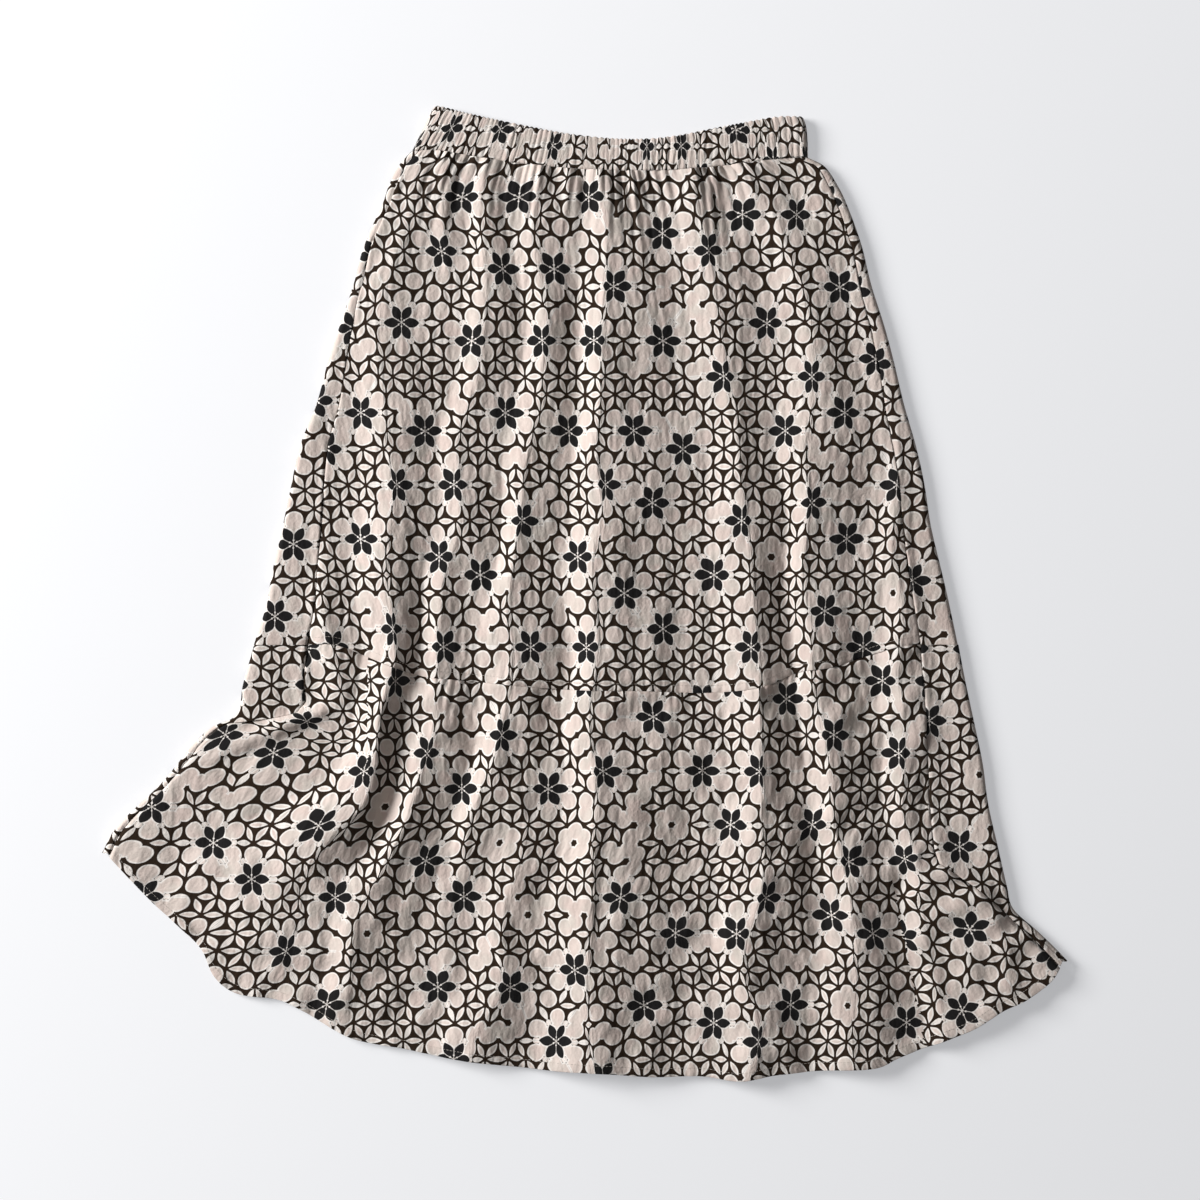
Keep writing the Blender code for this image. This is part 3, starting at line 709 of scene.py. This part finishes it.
def printed_cotton(name, wrong_side=False):
    """Crinkled cotton printed on one side: pale shapes, tinted by soft clouds, on brown-black
    with blue-black petals. A weave, sines of both places, and small crinkles are its bump.
    Through the wrong side the print shows weakly."""
    material, tree, shader = plain_material(name, {
        "Roughness": 0.88, "Specular IOR Level": 0.14, "Sheen Weight": 0.02, "Sheen Roughness": 0.5,
    })
    uv = tree.nodes.new("ShaderNodeUVMap")
    uv.uv_map = "cloth"
    parts = tree.nodes.new("ShaderNodeSeparateXYZ")
    tree.links.new(uv.outputs[0], parts.inputs[0])
    u, v = (Number(parts.outputs[k]) / PRINT_PITCH for k in range(2))
    pale, petal, into_pale = print_masks(u, v)
    tint = mixed(tree, edge(cloud(u, v, 0.9, 1.0) - 0.5, 4.0), ROSE_CREAM, GREY_CREAM)
    tint = mixed(tree, edge(cloud(v, u, 0.5, 2.0) - 0.52, 3.0), tint, CREAM)
    tint = mixed(tree, RIM_SHARE * edge(RIM - into_pale, 16.0), tint, RIM_CREAM)
    dark = mixed(tree, petal, EARTH_BLACK, BLUE_BLACK)
    colour = mixed(tree, pale, dark, tint)
    if wrong_side:
        colour = mixed(tree, 1 - SHOW_THROUGH, colour, CREAM)
    tree.links.new(colour, shader.inputs["Base Color"])
    thread = 2 * np.pi * PRINT_PITCH / WEAVE_PITCH
    weave = maths("SINE", u * thread) * maths("SINE", v * thread)
    crinkle = cloud(u * 2.6, v * 1.1, 1.0, 1.0) + FINE_CRINKLE * cloud(u, v, 7.0, 1.0)
    bump = tree.nodes.new("ShaderNodeBump")
    bump.inputs["Strength"].default_value = 1.0
    bump.inputs["Distance"].default_value = 0.001
    feed(bump.inputs["Height"], crinkle + weave * WEAVE_RISE)
    tree.links.new(bump.outputs[0], shader.inputs["Normal"])
    return material


cotton = printed_cotton("printed_crinkled_cotton")
cotton_inside = printed_cotton("printed_cotton_wrong_side", wrong_side=True)

UPPER_COLUMNS, UPPER_ROWS = 300, 150
UPPER_WIDTH, UPPER_LENGTH = 0.45, 0.43
DIP_WIDTH = 0.0012  # how near a seam its panels start to turn down
GATHER_MEAN, GATHER_SPREAD, GATHER_REACH = 0.02, 0.30, 0.050  # fullness, and how far it runs

# Gathers that leave a seam: count across the panel, rise, reach, seed
WAIST_FLUTES, FINE_FLUTES = (44, 0.0014, 0.050, 0.11), (93, 0.0006, 0.025, 0.57)
OVER_TIER_FLUTES = (60, 0.0006, 0.018, 0.43)


def seam_dip(*distances):
    """How far a panel's edge turns down into its seam: half the cloth's thickness times a bell
    curve of the distance."""
    return sum(CLOTH / 2 * np.exp(-((distance / DIP_WIDTH) ** 2)) for distance in distances)


def gathered(plan, below):
    """Fullness taken up at the waist: uneven across, so that the print is pinched here and
    open there, and dying away with the depth below the casing."""
    uneven = GATHER_MEAN + GATHER_SPREAD * read(CRINKLE, plan * (0.7, 0.35))
    return 1 + np.clip(uneven, -0.35, 0.9) * np.exp(-below / GATHER_REACH)


def front_grid(folds, strips, lines, columns, rows, length):
    """Shares across and down the front of one tier, its plan points, and its smooth surface."""
    across = np.linspace(0, 1, columns + 1)
    down = shares_with_close_ends(rows, length)
    lifts = (-SEAM_GAP / 2, SEAM_GAP / 2)
    plan = tier_plan(folds, strips, lines, SEAM_GAP, lifts, across, down)
    return across, down, plan, np.dstack([plan, top_height(plan)])


across, down, plan, upper_front = front_grid(
    UPPER_FOLDS, UPPER_STRIPS, (WAIST_SEAM, TIER_SEAM), UPPER_COLUMNS, UPPER_ROWS, UPPER_LENGTH
)
below_waist = plan[:1, :, 1] - plan[..., 1]
above_tier = plan[..., 1] - plan[-1:, :, 1]
upper_place = cloth_place(upper_front, gathered(plan, below_waist) + tucked(plan))
upper_front[..., 2] += crinkled(upper_place)
upper_front[..., 2] += flutes(across, below_waist, *WAIST_FLUTES)
upper_front[..., 2] += flutes(across, below_waist, *FINE_FLUTES)
upper_front[..., 2] += flutes(across, above_tier, *OVER_TIER_FLUTES)
side_gap = np.minimum(across, 1 - across)[None, :] * UPPER_WIDTH
upper_front[..., 2] -= seam_dip(below_waist, above_tier, side_gap)

piece = shell("upper_front", upper_front, upper_place, [cotton, cotton_inside])
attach(piece, "root")
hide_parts("front_upper")


# ---------------------------------------------------------------------------------------------
# Lower front: the second tier, from the tier seam to the narrow turned-up hem. Its left corner
# swings out in a wing under a rolled edge, and its right corner lies over in a flap, so the
# print lies turned on both.
# ---------------------------------------------------------------------------------------------

HEM = (
    (-0.406, -0.215), (-0.385, -0.238), (-0.364, -0.260), (-0.343, -0.279),
    (-0.322, -0.300), (-0.312, -0.322), (-0.293, -0.337), (-0.259, -0.342),
    (-0.238, -0.351), (-0.196, -0.3745), (-0.154, -0.383), (-0.112, -0.3915),
    (-0.070, -0.397), (-0.028, -0.4015), (0.014, -0.403), (0.056, -0.4065),
    (0.098, -0.4065), (0.129, -0.410), (0.161, -0.405), (0.203, -0.4015),
    (0.245, -0.399), (0.266, -0.390), (0.308, -0.3745), (0.329, -0.3655),
    (0.350, -0.352), (0.371, -0.342), (0.391, -0.3275), (0.4015, -0.311), (0.406, -0.298),
)
LOWER_FOLDS = (LEFT_LOWER_FOLD, RIGHT_LOWER_FOLD)
LOWER_STRIPS = (
    (0.00, 0.0405, 0.0275), (0.22, 0.050, 0.035), (0.265, 0.046, 0.038),
    (0.30, 0.024, 0.040), (0.34, 0.004, 0.041), (0.45, 0.002, 0.044),
    (0.62, 0.002, 0.0505), (0.66, 0.002, 0.049), (0.73, 0.002, 0.023),
    (0.79, 0.002, 0.004), (1.00, 0.002, 0.002),
)
LOWER_COLUMNS, LOWER_ROWS = 340, 130
LOWER_WIDTH, LOWER_LENGTH = 0.7, 0.33
UNDER_TIER_FLUTES = (70, 0.0008, 0.022, 0.77)
HEM_TURN, HEM_STEP = 0.008, 0.0006  # depth of the turned-up hem, and how much it stands up
RUCKLE, RUCKLE_RISE = soft_noise(11, 0.032, 0.032), 0.0006  # crumples of the turned corners

# Where the print is turned: a line and the width of the change across it, the pivot and the
# degrees, and the crease, as y and x, at which the turned cloth ends
WING_LINE, WING_BLEND = ((-0.180, -0.130), (-0.260, -0.105)), 0.045
WING_PIVOT, WING_TURN = (-0.235, -0.105), -30
WING_CREASE = (
    (-0.360, -0.268), (-0.304, -0.243), (-0.258, -0.213), (-0.207, -0.190), (-0.160, -0.182),
    (-0.085, -0.182),
)
FLAP_LINE, FLAP_BLEND = ((0.260, -0.225), (0.330, -0.225)), 0.045
FLAP_PIVOT, FLAP_TURN = (0.300, -0.225), -22
FLAP_CREASE = ((-0.422, 0.289), (-0.367, 0.284), (-0.291, 0.269), (-0.207, 0.252))


def ahead_of(line, plan, blend):
    """0 behind a line and 1 past it on its right-hand side, in a soft step blend wide."""
    start, end = (np.array(point) for point in line)
    along = (end - start) / np.linalg.norm(end - start)
    share = ((plan - start) @ np.array([along[1], -along[0]])) / blend + 0.5
    share = np.clip(share, 0, 1)
    return share * share * (3 - 2 * share)


def turned(place, pivot, degrees):
    """Places turned about a pivot, each by its own angle."""
    c, s = np.cos(np.radians(degrees)), np.sin(np.radians(degrees))
    x, y = (place - pivot)[..., 0], (place - pivot)[..., 1]
    return np.dstack([c * x - s * y, s * x + c * y]) + pivot


across, down, plan, lower_front = front_grid(
    LOWER_FOLDS, LOWER_STRIPS, (TIER_SEAM, HEM), LOWER_COLUMNS, LOWER_ROWS, LOWER_LENGTH
)
below_tier = plan[:1, :, 1] - plan[..., 1]
above_hem = (1 - down)[:, None] * LOWER_LENGTH
lower_place = cloth_place(lower_front, 1 + tucked(plan))
lower_front[..., 2] += crinkled(lower_place, 0.31)
on_wing, on_flap = ahead_of(WING_LINE, plan, WING_BLEND), ahead_of(FLAP_LINE, plan, FLAP_BLEND)
lower_front[..., 2] += RUCKLE_RISE * (on_wing + on_flap) * read(RUCKLE, plan)
wing_place = turned(lower_place, WING_PIVOT, WING_TURN * on_wing)
flap_place = turned(lower_place, FLAP_PIVOT, FLAP_TURN * on_flap)
middle_of_face = corners_of(plan).mean(axis=2)
past_wing, past_flap = (
    middle_of_face[..., 0] - np.interp(middle_of_face[..., 1], *np.array(crease).T)
    for crease in (WING_CREASE, FLAP_CREASE)
)
lower_place = corners_of(lower_place)
lower_place[past_wing < 0] = corners_of(wing_place)[past_wing < 0]
lower_place[past_flap > 0] = corners_of(flap_place)[past_flap > 0]
lower_front[..., 2] += flutes(across, below_tier, *UNDER_TIER_FLUTES)
lower_front[..., 2] += HEM_STEP * np.clip((HEM_TURN - above_hem) / DIP_WIDTH + 0.5, 0, 1)
side_gap = np.minimum(across, 1 - across)[None, :] * LOWER_WIDTH
lower_front[..., 2] -= seam_dip(below_tier, side_gap) + 0.5 * seam_dip(above_hem)

piece = shell("lower_front", lower_front, lower_place + (0.37, 0.21), [cotton, cotton_inside])
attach(piece, "root")
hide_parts("front_lower")


# ---------------------------------------------------------------------------------------------
# Backs of the two tiers: the same cotton, lying on the surface under the front. Their sides
# turn up round the side folds and show on top as strips, as far as the side seams.
# ---------------------------------------------------------------------------------------------

BACK_COLUMNS, STRIP_COLUMNS, TURN_STEPS = 150, 16, 12
BACK_WAVES, FLAT_SIDES = 0.0011, 0.03  # rise of the waves, and share across that lies flat
BACK_HEM_SET_IN = 0.0015
NO_STRIPS = ((0, 0, 0), (1, 0, 0))


def back_surface(folds, strips, lines, rows, length, set_in, shift):
    """The back of one tier: strip, turn, underside, turn and strip side by side. Each turn is
    half a circle in the plane across, and the underside rises off the surface in soft waves."""
    down = shares_with_close_ends(rows, length)
    lifts = (-SEAM_GAP / 2, SEAM_GAP / 2 + set_in)
    across = np.linspace(0, 1, BACK_COLUMNS + 1)
    seams = tier_plan(folds, strips, lines, 0, lifts, across, down)
    under = tier_plan(folds, NO_STRIPS, lines, 0, lifts, across, down)
    waves = BACK_WAVES * np.maximum(read(WRINKLE, under + shift) + 0.4, 0)
    fade = 1 - np.exp(-((np.minimum(across, 1 - across) / FLAT_SIDES) ** 2))
    parts = []
    for edge_column, outward in ((0, -1), (-1, 1)):
        seam, rim = seams[:, edge_column], under[:, edge_column]
        share = np.linspace(0, 1, STRIP_COLUMNS + 1)[None, :, None]
        strip_plan = seam[:, None] * (1 - share) + rim[:, None] * share
        strip = np.dstack([strip_plan, top_height(strip_plan)])
        relief = crinkled(strip_plan, shift)
        strip[..., 2] += relief * np.cos(np.pi / 2 * share[..., 0]) ** 2
        strip[..., 2] -= seam_dip(share[..., 0] * np.linalg.norm(seam - rim, axis=1)[:, None])
        turn = np.linspace(np.pi / 2, -np.pi / 2, TURN_STEPS + 1)[None, :]
        soft = 1 + 0.05 * read(WANDER, np.dstack([rim[:, 1:], rim[:, :1]]) + shift)
        x = rim[:, :1] + outward * FOLD_RADIUS * np.cos(turn) * soft
        z = FOLD_RADIUS * (1 + np.sin(turn))
        fold = np.dstack([x, np.broadcast_to(rim[:, 1:], x.shape), np.broadcast_to(z, x.shape)])
        parts.append(np.hstack([strip[:, :-1], fold[:, :-1]]))
    flat = np.dstack([under, waves * fade])
    return np.hstack([parts[0], flat, parts[1][:, ::-1]])


def back_places(surface, origin):
    """Places on the flat cloth at the corners of each face: on the strips and turns the length
    run from the seam, so that the print stands upright, and on the underside the length run
    from the middle. The print breaks where the underside starts, out of sight."""
    run = run_across(surface, np.ones(surface.shape[:2]))
    x, y, side = surface[..., 0], surface[..., 1], STRIP_COLUMNS + TURN_STEPS
    left, under, right = (
        corners_of(np.dstack([u, y]))
        for u in (x[:, :1] - run, run - run[:, [run.shape[1] // 2]], x[:, -1:] + run[:, -1:] - run)
    )
    places = np.hstack([left[:, :side], under[:, side:-side], right[:, -side:]])
    return places + origin


upper_back = back_surface(
    UPPER_FOLDS, UPPER_STRIPS, (WAIST_SEAM, TIER_SEAM), 180, UPPER_LENGTH, 0, 0.17
)
piece = shell(
    "upper_back", upper_back, back_places(upper_back, (0.11, 0.05)),
    [cotton, cotton_inside], flip=True,
)
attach(piece, "root")
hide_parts("back_upper")

lower_back = back_surface(
    LOWER_FOLDS, LOWER_STRIPS, (TIER_SEAM, HEM), 150, LOWER_LENGTH, BACK_HEM_SET_IN, 0.29
)
piece = shell(
    "lower_back", lower_back, back_places(lower_back, (0.23, 0.41)),
    [cotton, cotton_inside], flip=True,
)
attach(piece, "root")
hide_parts("back_lower")


# ---------------------------------------------------------------------------------------------
# Casing: a band of the same cotton folded over the waist elastic and stitched down along its
# lower edge. The elastic draws it into close, even gathers all round the flattened ring.
# ---------------------------------------------------------------------------------------------

CASING = 0.0028  # thickness of the band
CASING_RADIUS = 0.0047  # half the height of the flattened ring
CASING_TOP = (
    (-0.1264, 0.4108), (-0.091, 0.402), (-0.049, 0.393), (-0.007, 0.3855),
    (0.035, 0.382), (0.072, 0.384), (0.119, 0.393), (0.161, 0.4005), (0.1835, 0.4007),
)
CASING_FOLDS = (
    ((-0.1264, 0.4108), (-0.135, 0.392), (-0.1395, 0.383), (-0.145, 0.3725)),
    ((0.1835, 0.4007), (0.186, 0.391), (0.1875, 0.3665)),
)
CASING_HEIGHT, CASING_LENGTH = 0.032, 0.66  # depth of the band, and the way round it
FACE_COLUMNS, FOLD_COLUMNS, OUTSIDE_ROWS, ROUND_ROWS, INSIDE_ROWS = 600, 14, 20, 6, 6
FACE_SHARE = 0.48  # share of the way round that one face takes
GATHERS, GATHER_RISE, GATHER_NOTCH = 140, 0.0006, 0.0012  # count all round, rise, top's notches
PUFF = 0.0006  # how much the band swells over its elastic
STITCH_LINE, STITCH_LINE_WIDTH, PINCH = 0.86, 0.035, 0.0003  # share of the height, width, depth
CASING_FULLNESS, FULLNESS_SPREAD = 1.75, 0.7  # cloth taken up round the band
CASING_TAKE_UP = 1.15  # cloth taken up from its lower edge to its top


def casing_profile():
    """The band's section, run down the outside, under it, up the inside and over the rounded
    top: share of the height, and depth into the wall."""
    half = CASING / 2
    start = half / CASING_HEIGHT
    turn = np.linspace(0, np.pi, ROUND_ROWS + 2)[1:-1]
    height = np.concatenate([
        np.linspace(start, 1, OUTSIDE_ROWS), np.linspace(1, start, INSIDE_ROWS),
        start * (1 - np.sin(turn)),
    ])
    depth = np.concatenate([
        np.zeros(OUTSIDE_ROWS), np.full(INSIDE_ROWS, CASING), half * (1 + np.cos(turn)),
    ])
    return height, depth


def casing_plan(across, down):
    """Plan points of the band between its top line and the waist seam."""
    sides = []
    for fold, side in zip(CASING_FOLDS, (1, -1)):
        line = curve_at(fold, down)
        line[:, 0] += side * CASING_RADIUS
        sides.append(line)
    even = sides[0][-1, 0] + across * (sides[1][-1, 0] - sides[0][-1, 0])
    ends = []
    for line, lift, row in ((CASING_TOP, 0, 0), (WAIST_SEAM, SEAM_GAP / 2, -1)):
        x = even + (1 - across) ** SIDE_PULL * (sides[0][row, 0] - even[0])
        x = x + across**SIDE_PULL * (sides[1][row, 0] - even[-1])
        ends.append(np.column_stack([x, level_at(line, x) + lift]))
    t = down[:, None, None]
    s = across[None, :, None]
    plan = (1 - t) * ends[0] + t * ends[1]
    left_bend = sides[0][:, None, :1] - plan[:, :1, :1]
    right_bend = sides[1][:, None, :1] - plan[:, -1:, :1]
    plan[..., :1] += (1 - s) ** SIDE_PULL * left_bend + s**SIDE_PULL * right_bend
    return plan


def casing_surface():
    """The ring as a torus: the profile carried along the top face, round the right fold, back
    under it and round the left fold. The gathers are a ripple of its radius, the size of a sine
    of the way round, bent by noise. With it come the places on the flat cloth."""
    height, depth = casing_profile()
    order = np.argsort(height, kind="stable")
    face = np.linspace(0, 1, FACE_COLUMNS + 1)
    sorted_plan = casing_plan(face, height[order])
    plan = np.empty_like(sorted_plan)
    plan[order] = sorted_plan
    fold = np.linspace(0, 1, FOLD_COLUMNS + 1)[1:-1]
    angle = np.append(0 * face, np.pi * fold)
    column = np.append(np.arange(FACE_COLUMNS + 1), np.full(len(fold), FACE_COLUMNS))
    around = np.append(FACE_SHARE * face, FACE_SHARE + (0.5 - FACE_SHARE) * fold)
    angle = np.append(angle, angle + np.pi)
    column = np.append(column, FACE_COLUMNS - column)
    around = np.append(around, around + 0.5)
    centre = plan[:, column]
    level = np.broadcast_to(height[:, None], centre.shape[:-1])
    ring = np.broadcast_to(around[None, :] * CASING_LENGTH, centre.shape[:-1])
    drift = read(WANDER, np.dstack([ring * 1.5, level * 0.01]))
    slant = read(WRINKLE, np.dstack([ring, level * 0.03]))
    ripple = np.abs(np.sin(np.pi * GATHERS * around + 3.0 * drift + 0.5 * slant)) ** 0.9
    uneven = 0.75 + 0.5 * read(WRINKLE, np.dstack([ring * 2, level * 0.01 + 0.5]))
    outside = (1 - depth / CASING)[:, None]
    puff = PUFF * np.sin(np.pi * np.clip(level, 0, 1)) ** 0.5
    pinch = PINCH * np.exp(-(((level - STITCH_LINE) / STITCH_LINE_WIDTH) ** 2))
    radius = CASING_RADIUS - depth[:, None] + outside * (
        GATHER_RISE * (ripple - 0.5) * np.clip(uneven, 0.2, 1.6) + puff - pinch
    )
    x = centre[..., 0] + radius * np.sin(angle)[None, :]
    z = CASING_RADIUS + radius * np.cos(angle)[None, :]
    y = centre[..., 1] - GATHER_NOTCH * (1 - ripple) * (1 - level) ** 2
    surface = np.dstack([x, y, np.maximum(z, 0)])
    length_round = np.append(0, np.cumsum(np.hypot(np.diff(x[0]), np.diff(z[0]))))
    uneven = read(CRINKLE, np.column_stack([length_round, 0 * length_round]))
    fullness = np.clip(CASING_FULLNESS + FULLNESS_SPREAD * uneven, 0.8, 3.0)
    run = np.cumsum(np.diff(length_round, prepend=0) * fullness)
    seam = centre[np.argmax(height), :, 1]
    level = seam + CASING_TAKE_UP * (centre[..., 1] - seam)
    return surface, np.dstack([np.broadcast_to(run, x.shape), level])


def closed_ring(name, surface, place, material):
    """A grid that closes on itself both ways, with its places as UV map: past the last column
    they run on by one more step, and the last row joins the first."""
    quads = corners_of(np.pad(numbered(surface), (0, 1), "wrap"))
    place = np.hstack([place, 2 * place[:, -1:] - place[:, -2:-1]])
    place = np.vstack([place, place[:1]])
    return smooth_piece(name, surface, quads, [material], corners_of(place))


casing, casing_place = casing_surface()
piece = closed_ring("gathered_casing", casing, casing_place, cotton)
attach(piece, "root")
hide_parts("waistband")


# ---------------------------------------------------------------------------------------------
# Stitching: cream thread in lockstitch. One row holds the seam allowance above the tier seam,
# and one the turned-up hem.
# ---------------------------------------------------------------------------------------------

STITCH, STITCH_PITCH = 0.0024, 0.0031  # length of a stitch, and from one to the next
THREAD, THREAD_LIFT = 0.00032, 0.0001  # thickness, and its middle's height over the cloth
TIER_ROW, HEM_ROW = 0.006, 0.007  # height of each row above the tier seam and the hem
UNSTITCHED = 3  # columns left out at each side seam
SPINDLE = np.array([(-1, 0), (-0.7, 1), (0.7, 1), (1, 0)])  # a stitch: share along, share out


def thread_cotton():
    """Dull cream thread, with painted shade in random spots that stands for the shade between its
    twisted plies.
    """
    material, tree, shader = plain_material("cream_thread", {"Roughness": 0.75})
    place = tree.nodes.new("ShaderNodeTexCoord")
    noise = tree.nodes.new("ShaderNodeTexNoise")
    noise.inputs["Scale"].default_value = 1400.0
    tree.links.new(place.outputs["Object"], noise.inputs["Vector"])
    # painted shade: the darker colour, in the noise's small spots, stands for the shade between the
    # plies
    colour = mixed(tree, Number(noise.outputs["Fac"]), (0.30, 0.26, 0.22), (0.62, 0.57, 0.52))
    tree.links.new(colour, shader.inputs["Base Color"])
    return material


def row_at(surface, distances, level):
    """Points and unit normals of a grid at a distance from its first row, in each column."""
    share = np.array([np.interp(level, column, np.arange(len(column))) for column in distances.T])
    row = np.minimum(share.astype(int), len(surface) - 2)
    rest = (share - row)[:, None]
    columns = np.arange(surface.shape[1])
    points = surface[row, columns] * (1 - rest) + surface[row + 1, columns] * rest
    side = np.gradient(points, axis=0)
    fall = surface[row + 1, columns] - surface[row, columns]
    normal = np.cross(fall, side)
    return points, normal / np.linalg.norm(normal, axis=1)[:, None]


def stitch_row(name, line, normals, material):
    """Stitches along a line of points with normals, at even steps of its length: each a short
    spindle of six sides, half sunk in the cloth."""
    turn = np.linspace(0, 2 * np.pi, 7)[:-1]
    along, out = SPINDLE.T[:, :, None]
    along, wide, high = (
        part.reshape(1, -1, 1)
        for part in np.broadcast_arrays(along, out * np.cos(turn), out * np.sin(turn))
    )
    run = np.append(0, np.cumsum(np.linalg.norm(np.diff(line, axis=0), axis=1)))
    at = np.arange(STITCH_PITCH / 2, run[-1] - STITCH_PITCH / 2, STITCH_PITCH)
    centre, head, tail, up = (
        np.column_stack([np.interp(where, run, column) for column in source.T])[:, None]
        for where, source in (
            (at, line), (at + STITCH / 2, line), (at - STITCH / 2, line), (at, normals)
        )
    )
    ahead = (head - tail) / np.linalg.norm(head - tail, axis=-1, keepdims=True)
    points = (
        centre + ahead * along * STITCH / 2 + np.cross(up, ahead) * wide * THREAD / 2
        + up * (high * THREAD / 2 + THREAD_LIFT)
    )
    index = np.pad(np.arange(24).reshape(4, 6), ((0, 0), (0, 1)), "wrap")
    quads = corners_of(index.T).reshape(-1, 4) + 24 * np.arange(len(points))[:, None, None]
    return smooth_piece(name, points, quads, [material])


thread = thread_cotton()
hem_down = np.broadcast_to(above_hem, lower_front.shape[:-1])
for name, surface, distances, level, cloth_slot in (
    ("tier_stitches", upper_front, above_tier, TIER_ROW, "upper_cloth"),
    ("hem_stitches", lower_front, hem_down, HEM_ROW, "lower_cloth"),
):
    line, normals = row_at(surface[::-1], distances[::-1], level)
    normals = normals * np.sign(normals[:, 2:])
    line, normals = line[UNSTITCHED:-UNSTITCHED], normals[UNSTITCHED:-UNSTITCHED]
    piece = stitch_row(name, line, normals, thread)
    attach(piece, "root")


# ---------------------------------------------------------------------------------------------
# Setting: a pale floor that keeps the skirt's soft shadow and has painted light that grows towards
# the lamp, one large lamp low at the left, an even pale surround, and the camera straight above.
# ---------------------------------------------------------------------------------------------

VIEW_CENTRE = (0.0130, -0.0059, 0.010)
VIEW_WIDTH, VIEW_HEIGHT = 1.008, 3.0  # width that the camera sees there, and its height over it
LAMP_AZIMUTH, LAMP_ELEVATION, LAMP_DISTANCE = 160, 28.5, 4.5  # degrees from +X, and metres
LAMP_SIZE, LAMP_POWER = 2.0, 348  # metres, watts
SURROUND, SURROUND_SEEN = 0.12, 0.92  # strength that lights the skirt, and that the camera sees
FLOOR_GLOW, PAINTED_LIGHT_SLOPE, MOST_PAINTED_LIGHT = 0.436, 0.035, 0.15  # glow's strength; painted light: its change a metre towards the lamp, and its limit
FLOOR_REACH, FLOOR_DROP = 12.0, 0.0002


def seen_directly(tree):
    """1 where the camera sees the surface itself, or through gloss or glass."""
    path = tree.nodes.new("ShaderNodeLightPath")
    seen = Number(path.outputs["Is Camera Ray"])
    for kind in ("Is Glossy Ray", "Is Transmission Ray"):
        seen = most(seen, Number(path.outputs[kind]))
    return seen


def floor_paper():
    """Matt white paper: it takes the shadow, and glows a little for the camera alone. Painted light
    is in the glow: it grows towards the lamp's side and fades away from it."""
    material, tree, shader = plain_material("floor_paper", {
        "Base Color": (0.50, 0.50, 0.505, 1), "Roughness": 1.0, "Specular IOR Level": 0.0,
        "Emission Color": (0.955, 0.965, 1.0, 1),
    })
    place = tree.nodes.new("ShaderNodeTexCoord")
    parts = tree.nodes.new("ShaderNodeSeparateXYZ")
    tree.links.new(place.outputs["Object"], parts.inputs[0])
    x, y = Number(parts.outputs[0]), Number(parts.outputs[1])
    # painted light: the camera's glow grows towards the lamp's side, up to a limit
    painted_light = most(least(-PAINTED_LIGHT_SLOPE * x + PAINTED_LIGHT_SLOPE * y, MOST_PAINTED_LIGHT), -MOST_PAINTED_LIGHT)
    feed(shader.inputs["Emission Strength"], seen_directly(tree) * (painted_light + FLOOR_GLOW))
    return material


corner = FLOOR_REACH * np.array([(-1, -1, 0), (1, -1, 0), (1, 1, 0), (-1, 1, 0)])
smooth_piece("floor", corner - (0, 0, FLOOR_DROP), np.arange(4), [floor_paper()])

world = bpy.data.worlds.new("surround")
bpy.context.scene.world = world
world.use_nodes = True
background = world.node_tree.nodes["Background"]
background.inputs["Color"].default_value = (1.0, 1.0, 1.0, 1)
strength = seen_directly(world.node_tree) * (SURROUND_SEEN - SURROUND) + SURROUND
feed(background.inputs["Strength"], strength)

light = bpy.data.lights.new("window_light", "AREA")
light.energy = LAMP_POWER
light.size = LAMP_SIZE
lamp = bpy.data.objects.new("window_light", light)
azimuth, elevation = np.radians([LAMP_AZIMUTH, LAMP_ELEVATION])
lamp.location = LAMP_DISTANCE * np.array([
    np.cos(elevation) * np.cos(azimuth), np.cos(elevation) * np.sin(azimuth), np.sin(elevation)
])
lamp.rotation_euler = (-lamp.location).to_track_quat("-Z", "Y").to_euler()
bpy.context.scene.collection.objects.link(lamp)

view = bpy.data.cameras.new("camera")
view.sensor_width = 36
view.lens = view.sensor_width * VIEW_HEIGHT / VIEW_WIDTH
camera = bpy.data.objects.new("camera", view)
camera.location = (VIEW_CENTRE[0], VIEW_CENTRE[1], VIEW_CENTRE[2] + VIEW_HEIGHT)
bpy.context.scene.collection.objects.link(camera)
bpy.context.scene.camera = camera
bpy.context.scene.view_settings.view_transform = "Standard"
